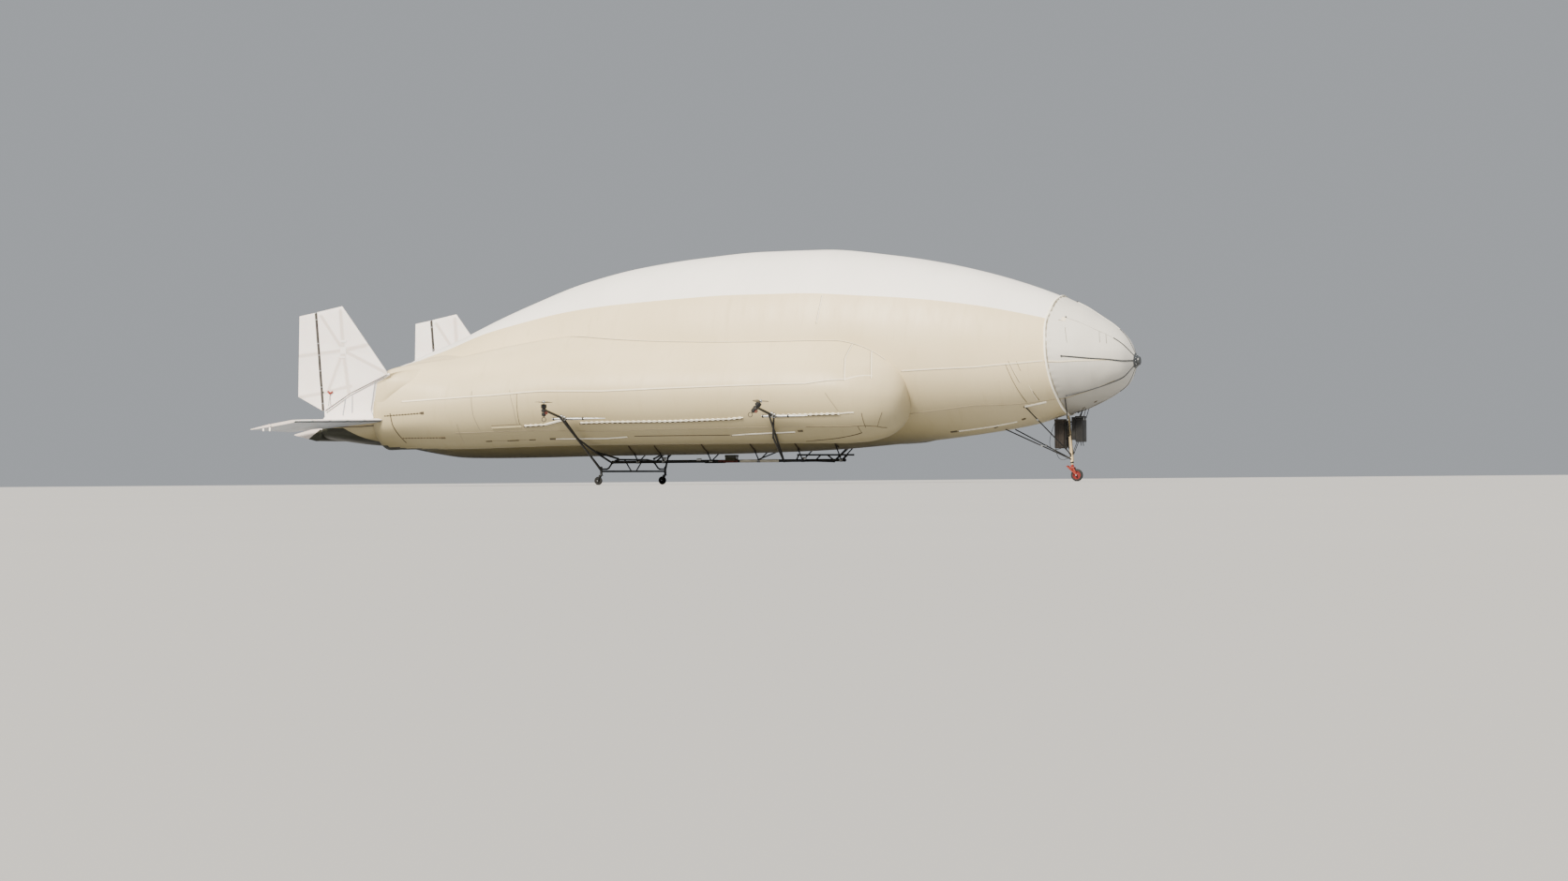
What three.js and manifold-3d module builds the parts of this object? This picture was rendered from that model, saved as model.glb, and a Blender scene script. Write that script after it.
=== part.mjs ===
// A small three-lobed airship that parks on a nose wheel and two rear caster wheels.
// Millimetres. +X points to the nose, +Y to port, +Z up; the floor is z = 0.
// Stations are distances aft of the nose tip, so the nose is station 0.
import * as THREE from "three";
import { mergeVertices } from "three/addons/utils/BufferGeometryUtils.js";
import Module from "manifold-3d";

const wasm = await Module();
wasm.setup();

// Driving dimensions
const NOSE_X = 9035;
const SKIN = 10;
const GAP = 1;
const HULL_SIDES = 36;
const LOBE_SIDES = 28;
const NOSE_COVER_END = 1700;
const COVER_RISE = 14;
const WEDGE_START = 13800;
const TAIL_START = 16150;
const TAIL_END = 17420;
const FIN_INNER_Y = 2853;
const FIN_THICK = 60;
const TIP_Y = 4850;
const KEEL_Z = 490;
const AXLE_STATION = 11360;
const TRACK_HALF = 1770;
const REAR_WHEEL_RADIUS = 90;
const NOSE_WHEEL_RADIUS = 130;
const NOSE_WHEEL_STATION = 1340;
const NOSE_SWIVEL_STATION = 1440;
const HEAD_Y = 4050;
const HEAD_Z = 1560;
const ROTOR_RADIUS = 450;
const HINGE_RADIUS = 30;
const HINGE_GAP = 8;
const REAR_TRAIL = 70;
const NOSE_TRAIL = NOSE_WHEEL_STATION - NOSE_SWIVEL_STATION;
const STEM = 12;
const STEM_BORE = 13;
const PIVOT_RADIUS = 15;
const PIVOT_BORE = 16;

const SIDES = [
  { name: "port", y: 1 },
  { name: "starboard", y: -1 },
];

const P = (station, y, z) => new THREE.Vector3(NOSE_X - station, y, z);

// Helpers that make closed solids
function toSolid(geometry) {
  const bare = geometry.clone();
  bare.deleteAttribute("normal");
  bare.deleteAttribute("uv");
  const merged = mergeVertices(bare, 1e-3);
  const positions = new Float32Array(merged.attributes.position.array);
  const indices = new Uint32Array(merged.index.array);
  const make = () =>
    new wasm.Manifold(
      new wasm.Mesh({ numProp: 3, vertProperties: positions, triVerts: indices }),
    );
  const solid = make();
  if (solid.volume() > 0) return solid;
  for (let i = 0; i < indices.length; i += 3) {
    [indices[i + 1], indices[i + 2]] = [indices[i + 2], indices[i + 1]];
  }
  return make();
}

function join(solids) {
  return solids.reduce((whole, next) => whole.add(next));
}

// A skin stretched over rings that each hold the same number of points.
function loft(rings) {
  const count = rings[0].length;
  const positions = [];
  const indices = [];
  const middle = (ring) =>
    ring.reduce((sum, p) => sum.add(p), new THREE.Vector3()).divideScalar(count);
  rings.forEach((ring) => ring.forEach((p) => positions.push(p.x, p.y, p.z)));
  for (let r = 0; r < rings.length - 1; r += 1) {
    for (let i = 0; i < count; i += 1) {
      const j = (i + 1) % count;
      const a = r * count + i;
      const b = r * count + j;
      indices.push(a, b, a + count, b, b + count, a + count);
    }
  }
  const cap = (ring, start, flip) => {
    const centre = middle(ring);
    const hub = positions.length / 3;
    positions.push(centre.x, centre.y, centre.z);
    for (let i = 0; i < count; i += 1) {
      const j = (i + 1) % count;
      if (flip) indices.push(hub, start + j, start + i);
      else indices.push(hub, start + i, start + j);
    }
  };
  cap(rings[0], 0, true);
  cap(rings[rings.length - 1], (rings.length - 1) * count, false);
  const geometry = new THREE.BufferGeometry();
  geometry.setAttribute("position", new THREE.Float32BufferAttribute(positions, 3));
  geometry.setIndex(indices);
  return toSolid(geometry);
}

function rod(a, b, radius, sides = 8) {
  const along = b.clone().sub(a);
  const geometry = new THREE.CylinderGeometry(radius, radius, along.length(), sides);
  const turn = new THREE.Quaternion().setFromUnitVectors(
    new THREE.Vector3(0, 1, 0),
    along.clone().normalize(),
  );
  geometry.applyQuaternion(turn);
  const centre = a.clone().add(b).multiplyScalar(0.5);
  geometry.translate(centre.x, centre.y, centre.z);
  return toSolid(geometry);
}

// Rods from a table of [point, point, radius], each thickened by the same allowance.
function frame(rows, allowance = 0) {
  return join(rows.map(([a, b, radius]) => rod(a, b, radius + allowance)));
}

function box(station0, station1, y0, y1, z0, z1) {
  const geometry = new THREE.BoxGeometry(station1 - station0, y1 - y0, z1 - z0);
  geometry.translate(NOSE_X - (station0 + station1) / 2, (y0 + y1) / 2, (z0 + z1) / 2);
  return toSolid(geometry);
}

function slab(station0, station1) {
  return box(station0, station1, -8000, 8000, -1000, 8000);
}

// A flat panel cut from an outline of [station, z] points, standing at a constant y.
function upright(outline, y0, y1) {
  const shape = new THREE.Shape(
    outline.map(([station, z]) => new THREE.Vector2(NOSE_X - station, z)),
  );
  const geometry = new THREE.ExtrudeGeometry(shape, { depth: y1 - y0, bevelEnabled: false });
  geometry.rotateX(Math.PI / 2);
  geometry.translate(0, y1, 0);
  return toSolid(geometry);
}

// Central hull: [station, top z, bottom z, half width]
const HULL = [
  [0, 2510, 2470, 20],
  [60, 2645, 2335, 155],
  [210, 2940, 2030, 455],
  [440, 3178, 1850, 665],
  [760, 3400, 1675, 865],
  [1109, 3620, 1525, 1048],
  [1620, 3850, 1370, 1240],
  [2256, 4090, 1190, 1450],
  [3166, 4370, 1040, 1665],
  [4224, 4620, 910, 1855],
  [5300, 4800, 810, 1995],
  [6884, 4960, 700, 2130],
  [8200, 4950, 660, 2145],
  [9600, 4850, 636, 2107],
  [10980, 4680, 630, 2025],
  [12370, 4370, 620, 1880],
  [13450, 3990, 605, 1800],
  [14300, 3650, 600, 1770],
  [15200, 3240, 610, 1800],
  [16150, 2850, 740, 1900],
  [16900, 2280, 915, 2100],
  [17380, 1480, 1010, 2300],
];

function hullRing([station, top, bottom, half], grow) {
  const centre = (top + bottom) / 2;
  const height = (top - bottom) / 2 + grow;
  const width = half + grow;
  return Array.from({ length: HULL_SIDES }, (_, i) => {
    const angle = (2 * Math.PI * i) / HULL_SIDES;
    return P(station, width * Math.sin(angle), centre + height * Math.cos(angle));
  });
}

function hullBody(grow) {
  const rows = grow < 0 ? HULL.slice(1) : HULL;
  return loft(rows.map((row) => hullRing(row, grow)));
}

// Side lobe: [station, centre y, centre z, radius]
const LOBE = [
  [4450, 1720, 1690, 40],
  [4500, 1730, 1700, 360],
  [4680, 1745, 1740, 650],
  [5000, 1770, 1800, 875],
  [5400, 1800, 1860, 1010],
  [5900, 1840, 1905, 1075],
  [6800, 1858, 1930, 1090],
  [9500, 1862, 1940, 1092],
  [12000, 1862, 1930, 1085],
  [13200, 1890, 1850, 1030],
  [14400, 1960, 1730, 935],
  [15300, 2020, 1640, 840],
  [16150, 2100, 1560, 750],
  [16900, 2300, 1420, 500],
  [17380, 2550, 1250, 180],
];

// The lobe's section is fuller where it tucks into the hull and flatter on its shoulder:
// [degrees from the top, share of the radius]
const LOBE_SHAPE = [
  [0, 1.14],
  [14, 1],
  [45, 0.87],
  [70, 0.95],
  [90, 1],
  [270, 1],
  [315, 1.05],
  [360, 1.14],
];

function lobeShare(degrees) {
  const next = Math.max(1, LOBE_SHAPE.findIndex(([at]) => at >= degrees));
  const [from, low] = LOBE_SHAPE[next - 1];
  const [to, high] = LOBE_SHAPE[next];
  const t = (degrees - from) / (to - from);
  return low + (high - low) * t * t * (3 - 2 * t);
}

function lobeBody(side, grow) {
  const rows = grow < 0 ? LOBE.slice(1) : LOBE;
  return loft(
    rows.map(([station, y, z, radius]) =>
      Array.from({ length: LOBE_SIDES }, (_, i) => {
        const turn = i / LOBE_SIDES;
        const angle = 2 * Math.PI * turn;
        const reach = radius * lobeShare(360 * turn) + grow;
        return P(station, side * (y + reach * Math.sin(angle)), z + reach * Math.cos(angle));
      }),
    ),
  );
}

// Tail wedge, round at its front and square below towards its end:
// [station, crown z, shoulder z, chine z, belly z, half width, power of the lower corner]
const WEDGE = [
  [WEDGE_START, 2900, 1900, 1500, 1000, 2300, 1],
  [15000, 2950, 2000, 1450, 930, 2740, 1],
  [15900, 2800, 2050, 1350, 880, 2800, 1],
  [TAIL_START, 2700, 2040, 1300, 850, 2830, 0.9],
  [16800, 2300, 1880, 1290, 905, 2840, 0.5],
  [17330, 1640, 1540, 1290, 975, 2840, 0.45],
  [TAIL_END, 1500, 1430, 1280, 985, 2840, 0.45],
];

function wedgeRing([station, crown, shoulder, chine, belly, half, power], grow) {
  const steps = 6;
  const side = [];
  for (let i = 0; i <= steps; i += 1) {
    const angle = (Math.PI / 2) * (i / steps);
    side.push([
      (half + grow) * Math.sin(angle),
      shoulder + (crown - shoulder + grow) * Math.cos(angle),
    ]);
  }
  for (let i = 0; i <= steps; i += 1) {
    const angle = (Math.PI / 2) * (i / steps);
    side.push([
      (half + grow) * Math.max(0, Math.cos(angle)) ** power,
      chine - (chine - belly + grow) * Math.sin(angle) ** power,
    ]);
  }
  const other = side.slice(1, -1).reverse().map(([y, z]) => [-y, z]);
  return side.concat(other).map(([y, z]) => P(station, y, z));
}

function wedgeBody(grow) {
  return loft(WEDGE.map((row) => wedgeRing(row, grow)));
}

const hullOuter = hullBody(0);
const hullClear = hullBody(GAP);
const lobeClear = join(SIDES.map((side) => lobeBody(side.y, GAP)));
const coverClear = hullBody(COVER_RISE + GAP).intersect(slab(-200, NOSE_COVER_END + GAP));
const skinClear = join([hullClear, lobeClear, coverClear]);

// Paint and finish by the kind of piece: [word in the name, colour, roughness, metalness]
const FINISHES = [
  ["wheel", 0x1c1c1e, 0.85, 0],
  ["nose_caster", 0xb4451f, 0.45, 0.3],
  ["nose_leg", 0xc9b893, 0.5, 0.3],
  ["nose_cover", 0xe4e4e0, 0.6, 0],
  ["mooring", 0x55585b, 0.4, 0.8],
  ["rail", 0xb9bcbf, 0.4, 0.9],
  ["envelope", 0xe9e2cd, 0.55, 0],
  ["lobe", 0xded5bb, 0.55, 0],
  ["tail_section", 0xf0efeb, 0.55, 0],
  ["fin", 0xf3efee, 0.5, 0],
  ["rudder", 0xf3efee, 0.5, 0],
  ["stabilizer", 0xe9ecef, 0.5, 0],
  ["elevator", 0xe9ecef, 0.5, 0],
  ["propeller", 0x17181a, 0.4, 0],
  ["tilt_head", 0x2a2b2e, 0.5, 0.2],
  ["equipment", 0x2c2c2e, 0.6, 0],
  ["", 0x1d1e20, 0.45, 0.6],
];
function toMesh(name, solid) {
  const data = solid.getMesh();
  const geometry = new THREE.BufferGeometry();
  const positions = new Float32Array(data.numVert * 3);
  for (let i = 0; i < data.numVert; i += 1) {
    positions.set(data.vertProperties.subarray(i * data.numProp, i * data.numProp + 3), i * 3);
  }
  geometry.setAttribute("position", new THREE.BufferAttribute(positions, 3));
  geometry.setIndex(new THREE.BufferAttribute(data.triVerts, 1));
  geometry.computeVertexNormals();
  const [, color, roughness, metalness] = FINISHES.find(([word]) => name.includes(word));
  const material = new THREE.MeshStandardMaterial({ color, roughness, metalness });
  const mesh = new THREE.Mesh(geometry, material);
  mesh.name = name;
  return mesh;
}

const airship = new THREE.Group();
airship.name = "airship";
function group(position, parent = airship) {
  const made = new THREE.Group();
  made.position.copy(position);
  parent.add(made);
  return made;
}
function addTo(parent, name, solid) {
  parent.add(toMesh(name, solid));
}
function add(name, solid) {
  addTo(airship, name, solid);
}
function largest(solid) {
  return solid.decompose().sort((a, b) => b.volume() - a.volume())[0];
}

// Envelope, nose cover and tail section
add(
  "envelope",
  hullOuter.subtract(hullBody(-SKIN)).intersect(slab(NOSE_COVER_END - 150, TAIL_START)),
);
add(
  "nose_cover",
  hullBody(COVER_RISE).subtract(hullBody(GAP + 1)).intersect(slab(-100, NOSE_COVER_END)),
);
const tailOuter = join([hullOuter, ...SIDES.map((side) => lobeBody(side.y, 0)), wedgeBody(0)]);
const tailInner = join([
  hullBody(-SKIN),
  ...SIDES.map((side) => lobeBody(side.y, -SKIN)),
  wedgeBody(-SKIN),
]);
add(
  "tail_section",
  tailOuter
    .subtract(tailInner.intersect(slab(TAIL_START - 500, TAIL_END - SKIN)))
    .intersect(slab(TAIL_START + GAP, TAIL_END)),
);
// Each lobe takes in its half of the wedge ahead of the tail section
SIDES.forEach((side) => {
  const half = box(4000, TAIL_START, Math.min(0, side.y * 8000), Math.max(0, side.y * 8000), 0, 8000);
  const lobe = lobeBody(side.y, 0)
    .add(wedgeBody(0))
    .subtract(lobeBody(side.y, -SKIN))
    .subtract(wedgeBody(-SKIN))
    .subtract(hullClear)
    .intersect(half);
  add("side_lobe_" + side.name, largest(lobe));
});

// Mooring cap with nose battens that lie on the nose cover
const BATTENS = 8;
const BATTEN_WIDTH = 26;
const BATTEN_HEIGHT = 16;
const BATTEN_STATIONS = [30, 60, 210, 440, 760, 1109, 1300];
// The hull's row at any station, straight between the rows of the table
function hullRow(station) {
  const next = HULL.findIndex(([at]) => at >= station);
  const [low, high] = [HULL[next - 1], HULL[next]];
  const t = (station - low[0]) / (high[0] - low[0]);
  return low.map((value, i) => value + (high[i] - value) * t);
}
function batten(angle) {
  const across = new THREE.Vector3(0, Math.cos(angle), -Math.sin(angle)).multiplyScalar(
    BATTEN_WIDTH / 2,
  );
  const rings = BATTEN_STATIONS.map((where) => {
    const [station, top, bottom, half] = hullRow(where);
    const centre = (top + bottom) / 2;
    const height = (top - bottom) / 2;
    const at = (rise) =>
      P(
        station,
        (half + rise) * Math.sin(angle),
        centre + (height + rise) * Math.cos(angle),
      );
    const low = at(COVER_RISE + GAP);
    const high = at(COVER_RISE + GAP + BATTEN_HEIGHT);
    return [
      low.clone().sub(across),
      low.clone().add(across),
      high.clone().add(across),
      high.clone().sub(across),
    ];
  });
  return loft(rings);
}
const capCentreZ = 2490;
// The cap's outline: [radius, distance ahead of the nose tip]
const CAP_OUTLINE = [
  [0, 50],
  [90, 50],
  [94, 14],
  [150, -30],
  [162, -48],
  [158, -70],
  [0, -70],
];
const capShape = new THREE.LatheGeometry(
  CAP_OUTLINE.map(([radius, ahead]) => new THREE.Vector2(radius, ahead)),
  24,
);
capShape.rotateZ(-Math.PI / 2);
capShape.translate(NOSE_X, 0, capCentreZ);
const battens = Array.from({ length: BATTENS }, (_, i) => batten((2 * Math.PI * i) / BATTENS));
add("mooring_cap", join([toSolid(capShape), ...battens]).subtract(coverClear));

// Tail surfaces: the fin is white side wall and fin in one panel
const HINGE_LOW = [17370, 1605];
const HINGE_TOP = [17530, 3755];
const hingeStation = (z) =>
  HINGE_LOW[0] + ((z - HINGE_LOW[1]) / (HINGE_TOP[1] - HINGE_LOW[1])) * (HINGE_TOP[0] - HINGE_LOW[0]);
const BEHIND_FIN = HINGE_RADIUS + HINGE_GAP;
const FIN = [
  [15810, 2400],
  [16900, 3877],
  [hingeStation(3755) - BEHIND_FIN, 3760],
  [hingeStation(1500) - BEHIND_FIN, 1500],
  [hingeStation(1460) - BEHIND_FIN, 1340],
  [16050, 1420],
  [16200, 1640],
  [16100, 2240],
];
const RUDDER = [
  [hingeStation(3750), 3750],
  [17915, 3680],
  [17960, 1950],
  [hingeStation(1640), 1640],
];
// Each horizontal surface: rows of [y, lead station, lead z, trail station, trail z, thickness]
const STABILIZER = [
  [2918, 15950, 1430, 17328, 1300, 90],
  [TIP_Y, 17040, 1405, 17610, 1315, 60],
];
const ELEVATOR = [
  [2935, 17370, 1296, 18120, 1195],
  [TIP_Y, 17652, 1311, 18100, 1235],
];
const CENTRE_ELEVATOR = [
  [-2825, 17575, 1130, 18100, 1130],
  [2825, 17575, 1130, 18100, 1130],
];
const CENTRE_RADIUS = 140;
const TRAIL_THICK = 14;
// The hollow of the centre elevator runs right through it and ends short of its trailing edge
const CENTRE_HOLLOW = CENTRE_ELEVATOR.map(([y, hinge, hingeZ, , trailZ]) => [
  y * 1.1,
  hinge,
  hingeZ,
  17950,
  trailZ,
]);
const HOLLOW_THICK = 70;

function fixedSurface(rows, side) {
  return loft(
    rows.map(([y, lead, leadZ, trail, trailZ, thick]) => {
      const chord = trail - lead;
      const at = (share, rise) =>
        P(lead + chord * share, side * y, leadZ + (trailZ - leadZ) * share + rise);
      return [
        at(0, 0),
        at(0.03, thick * 0.32),
        at(0.12, thick / 2),
        at(1, thick / 2),
        at(1, -thick / 2),
        at(0.12, -thick / 2),
        at(0.03, -thick * 0.32),
      ];
    }),
  );
}

// A moving surface: round leading edge on the hinge line, thin trailing edge
function movingSurface(rows, side, radius = HINGE_RADIUS, trailThick = TRAIL_THICK) {
  return loft(
    rows.map(([y, hinge, hingeZ, trail, trailZ]) => {
      const chord = new THREE.Vector2(trail - hinge, trailZ - hingeZ);
      const slope = chord.angle();
      const nose = [90, 126, 162, 198, 234, 270].map((degrees) => {
        const angle = slope + (degrees * Math.PI) / 180;
        return P(
          hinge + radius * Math.cos(angle),
          side * y,
          hingeZ + radius * Math.sin(angle),
        );
      });
      const across = slope + Math.PI / 2;
      const trailEdge = [-1, 1].map((way) =>
        P(
          trail + way * (trailThick / 2) * Math.cos(across),
          side * y,
          trailZ + way * (trailThick / 2) * Math.sin(across),
        ),
      );
      return nose.concat(trailEdge);
    }),
  );
}

SIDES.forEach((side) => {
  const inner = side.y > 0 ? FIN_INNER_Y : -FIN_INNER_Y - FIN_THICK;
  const middle = side.y * (FIN_INNER_Y + FIN_THICK / 2);
  add("fin_" + side.name, upright(FIN, inner, inner + FIN_THICK));
  const rudder = join([
    upright(RUDDER, inner + 4, inner + FIN_THICK - 4),
    rod(P(hingeStation(1640), middle, 1640), P(hingeStation(3750), middle, 3750), HINGE_RADIUS, 16),
  ]);
  add("rudder_" + side.name, rudder);
  add("stabilizer_" + side.name, fixedSurface(STABILIZER, side.y));
  add("elevator_" + side.name, movingSurface(ELEVATOR, side.y));
});
add(
  "elevator_centre",
  movingSurface(CENTRE_ELEVATOR, 1, CENTRE_RADIUS).subtract(
    movingSurface(CENTRE_HOLLOW, 1, CENTRE_RADIUS - SKIN, HOLLOW_THICK),
  ),
);

// Keel truss: one long beam under the hull on spread hangers
const TUBE = 30;
const BRACE = 15;
const STRUT = 21;
const keelRows = [
  [P(11850, 0, KEEL_Z), P(6500, 0, KEEL_Z), TUBE],
  [P(7560, 0, 610), P(6300, 0, 600), 18],
  [P(7160, 0, KEEL_Z), P(7040, 0, 605), BRACE],
  [P(6740, 0, KEEL_Z), P(6890, 0, 605), BRACE],
  [P(7600, 0, KEEL_Z), P(7540, 0, 612), BRACE],
  [P(6560, 0, KEEL_Z), P(6420, 0, 605), BRACE],
  [P(8545, 0, KEEL_Z), P(8030, 0, 680), BRACE],
];
const HANGER_STATIONS = [11100, 10500, 9400, 8300, 7300, 6420];
HANGER_STATIONS.forEach((station) => {
  [1, -1].forEach((way) => {
    keelRows.push([P(station + 150, 0, KEEL_Z), P(station, way * 980, 1000), BRACE]);
  });
});
const keelTruss = frame(keelRows).subtract(skinClear);
const payloadPlate = box(9260, 9660, -110, 110, KEEL_Z - TUBE - 12, KEEL_Z - TUBE + 6);
const keel = largest(keelTruss).add(payloadPlate);
const keelClear = frame(keelRows, GAP);
add("keel_truss", keel);

// Rear axle truss across the keel: a short upper chord whose ends sweep down to a post over each caster
const axleLow = 290;
const axleHigh = KEEL_Z + TUBE + 22;
// One end of the upper chord: [y, z]
const AXLE_SWEEP = [
  [0, axleHigh],
  [750, axleHigh],
  [1000, 520],
  [1200, 455],
  [1360, 362],
  [1460, 338],
  [TRACK_HALF, 336],
];
const axleRows = [[P(AXLE_STATION, -TRACK_HALF, axleLow), P(AXLE_STATION, TRACK_HALF, axleLow), 20]];
[1, -1].forEach((way) => {
  const post = way * TRACK_HALF;
  axleRows.push([P(AXLE_STATION, post, 262), P(AXLE_STATION, post, 366), 26]);
  axleRows.push([P(AXLE_STATION, way * 510, axleHigh), P(AXLE_STATION, way * 130, axleLow), 14]);
  AXLE_SWEEP.slice(1).forEach(([y, z], i) => {
    const [y0, z0] = AXLE_SWEEP[i];
    axleRows.push([P(AXLE_STATION, way * y0, z0), P(AXLE_STATION, way * y, z), 18]);
  });
});
const stemBores = SIDES.map((side) =>
  rod(
    P(AXLE_STATION, side.y * TRACK_HALF, 240),
    P(AXLE_STATION, side.y * TRACK_HALF, 318),
    STEM_BORE,
    12,
  ),
);
const axleTruss = frame(axleRows).subtract(keelClear).subtract(hullClear).subtract(join(stemBores));
const axleClear = frame(axleRows, GAP);
add("axle_truss", axleTruss);

// Engine frames: [name, station, lower joint station, front or rear]
const ENGINES = [
  { end: "front", station: 6930, foot: 7300 },
  { end: "rear", station: 11670, foot: AXLE_STATION },
];
const ARM_ROOT_Y = 2990;
const ARM_ROOT_Z = 1395;
const PIVOT_Y = HEAD_Y - 110;
ENGINES.forEach((engine) => {
  SIDES.forEach((side) => {
    const at = (station, y, z) => P(station, side.y * y, z);
    const armAt = (y) => ARM_ROOT_Z + ((y - ARM_ROOT_Y) / (PIVOT_Y - ARM_ROOT_Y)) * (HEAD_Z - ARM_ROOT_Z);
    const rows = [
      [at(engine.station, ARM_ROOT_Y - 40, armAt(ARM_ROOT_Y - 40)), at(engine.station, PIVOT_Y, HEAD_Z), 26],
    ];
    if (engine.end === "rear") {
      const elbow = at(11540, 2600, 985);
      const knee = at(11420, 2000, 715);
      rows.push([at(engine.station, 3230, armAt(3230)), at(engine.foot, TRACK_HALF, 330), STRUT]);
      rows.push([at(engine.station, 3030, armAt(3030)), elbow, STRUT]);
      rows.push([elbow, knee, STRUT]);
      rows.push([knee, at(11300, 1000, 560), STRUT]);
      rows.push([knee, at(engine.foot, 1180, 470), STRUT]);
      rows.push([elbow, at(engine.foot, TRACK_HALF, 300), STRUT]);
    } else {
      const elbow = at(7130, 2560, 960);
      const foot = at(engine.foot, 1500, 470);
      rows.push([at(engine.station, 3330, armAt(3330)), foot, STRUT]);
      rows.push([foot, at(engine.foot + 60, 0, KEEL_Z), STRUT]);
      rows.push([at(engine.station, 3030, armAt(3030)), elbow, STRUT]);
      rows.push([elbow, foot, STRUT]);
    }
    const body = frame(rows).subtract(keelClear).subtract(axleClear).subtract(skinClear);
    const pivot = rod(
      at(engine.station, PIVOT_Y - 20, HEAD_Z),
      at(engine.station, HEAD_Y, HEAD_Z),
      PIVOT_RADIUS,
      12,
    );
    add(`engine_arm_${engine.end}_${side.name}`, largest(body).add(pivot));
    const railStart = engine.end === "rear" ? 10770 : 6230;
    const railEnd = engine.end === "rear" ? 11990 : 7250;
    const rail = rod(at(railStart, 2905, 1400), at(railEnd, 2905, 1400), 24, 12)
      .subtract(frame([rows[0]], GAP))
      .subtract(skinClear);
    add(`engine_rail_${engine.end}_${side.name}`, rail);
  });
});


// Tilting heads and propellers; the front pair is tilted forward
const HEAD_TILT = { front: 40, rear: 0 };
const ROTOR_LIFT = 175;
const SHAFT = 8;
const HUB_BORE = 9;
const V = (x, y, z) => new THREE.Vector3(x, y, z);
// Ring skid under each head
const RING_RADIUS = 46;
const RING_WIRE = 7;
const RING_Z = -185;
function headSolid(side) {
  const ring = new THREE.TorusGeometry(RING_RADIUS, RING_WIRE, 8, 20);
  ring.rotateX(Math.PI / 2);
  ring.translate(0, 0, RING_Z);
  return join([
    toSolid(ring),
    rod(V(0, 0, -110), V(0, 0, RING_Z + RING_RADIUS), 10, 12),
    rod(V(0, side * -78, 0), V(0, side * 50, 0), 42, 16),
    rod(V(0, 0, -120), V(0, 0, 60), 48, 16),
    rod(V(0, 0, 50), V(0, 0, 130), 62, 16),
    rod(V(0, 0, 120), V(0, 0, 188), SHAFT, 12),
  ]).subtract(rod(V(0, side * -90, 0), V(0, side * 12, 0), PIVOT_BORE, 12));
}
const BLADE = [
  [20, 34, 16, 22],
  [120, 70, 12, 18],
  [260, 60, 9, 12],
  [ROTOR_RADIUS, 30, 5, 8],
];
function propellerSolid() {
  const blades = [1, -1].map((way) =>
    loft(
      BLADE.map(([reach, chord, thick, pitch]) => {
        const turn = (way * pitch * Math.PI) / 180;
        return [[-1, -1], [1, -1], [1, 1], [-1, 1]].map(([u, v]) => {
          const x = (chord / 2) * u;
          const z = (thick / 2) * v;
          return V(
            x * Math.cos(turn) - z * Math.sin(turn),
            way * reach,
            x * Math.sin(turn) + z * Math.cos(turn),
          );
        });
      }),
    ),
  );
  return join([rod(V(0, 0, -19), V(0, 0, 20), 36, 16), ...blades]).subtract(
    rod(V(0, 0, -40), V(0, 0, 15), HUB_BORE, 12),
  );
}
ENGINES.forEach((engine) => {
  SIDES.forEach((side) => {
    const head = group(P(engine.station, side.y * HEAD_Y, HEAD_Z));
    head.rotation.y = THREE.MathUtils.degToRad(HEAD_TILT[engine.end]);
    addTo(head, `tilt_head_${engine.end}_${side.name}`, headSolid(side.y));
    const rotor = group(V(0, 0, ROTOR_LIFT), head);
    addTo(rotor, `propeller_${engine.end}_${side.name}`, propellerSolid());
  });
});

// Casters: [name, swivel point, trail to the axle, wheel radius, half width, fork half width, collar radius]
const CASTERS = SIDES.map((side) => ({
  name: "rear",
  ending: "_" + side.name,
  swivel: P(AXLE_STATION, side.y * TRACK_HALF, 258),
  trail: REAR_TRAIL,
  radius: REAR_WHEEL_RADIUS,
  halfWidth: 24,
  fork: 42,
  collar: 26,
  leg: 10,
  axle: 9,
})).concat([
  {
    name: "nose",
    ending: "",
    swivel: P(NOSE_SWIVEL_STATION, 0, 352),
    trail: NOSE_TRAIL,
    radius: NOSE_WHEEL_RADIUS,
    halfWidth: 32,
    fork: 54,
    collar: 34,
    leg: 14,
    axle: 12,
    loop: [-100, -34],
  },
]);
CASTERS.forEach((caster) => {
  const frameGroup = group(caster.swivel);
  const axle = V(-caster.trail, 0, caster.radius - caster.swivel.z);
  const plateTop = 2 * caster.radius + 24 - caster.swivel.z;
  const lean = -Math.sign(caster.trail) * caster.leg * 2;
  const loop = caster.loop
    ? [-1, 1].map((way) => [
        axle.clone().setY(way * caster.fork),
        V(caster.loop[0], way * caster.fork, caster.loop[1]),
        caster.leg,
      ]).concat([
        [
          V(caster.loop[0], -caster.fork - caster.leg, caster.loop[1]),
          V(caster.loop[0], caster.fork + caster.leg, caster.loop[1]),
          caster.leg,
        ],
      ])
    : [];
  const plate = new THREE.BoxGeometry(caster.collar * 2.6, caster.fork * 2 + caster.leg * 2, 18);
  plate.translate(lean / 2, 0, plateTop);
  const fork = join([
    rod(V(0, 0, plateTop), V(0, 0, -4), caster.collar, 16),
    rod(V(0, 0, -10), V(0, 0, 52), STEM, 12),
    toSolid(plate),
    ...loop.map(([a, b, radius]) => rod(a, b, radius)),
    ...[-1, 1].map((way) =>
      rod(V(lean, way * caster.fork, plateTop), axle.clone().setY(way * caster.fork), caster.leg),
    ),
    rod(
      axle.clone().setY(-caster.fork - caster.leg - 3),
      axle.clone().setY(caster.fork + caster.leg + 3),
      caster.axle,
      12,
    ),
  ]);
  addTo(frameGroup, `${caster.name}_caster${caster.ending}`, fork);
  const wheelGroup = group(axle, frameGroup);
  const wheel = rod(V(0, -caster.halfWidth, 0), V(0, caster.halfWidth, 0), caster.radius, 36)
    .subtract(rod(V(0, -90, 0), V(0, 90, 0), caster.axle + 1, 12));
  addTo(wheelGroup, `${caster.name}_wheel${caster.ending}`, wheel);
});

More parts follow.
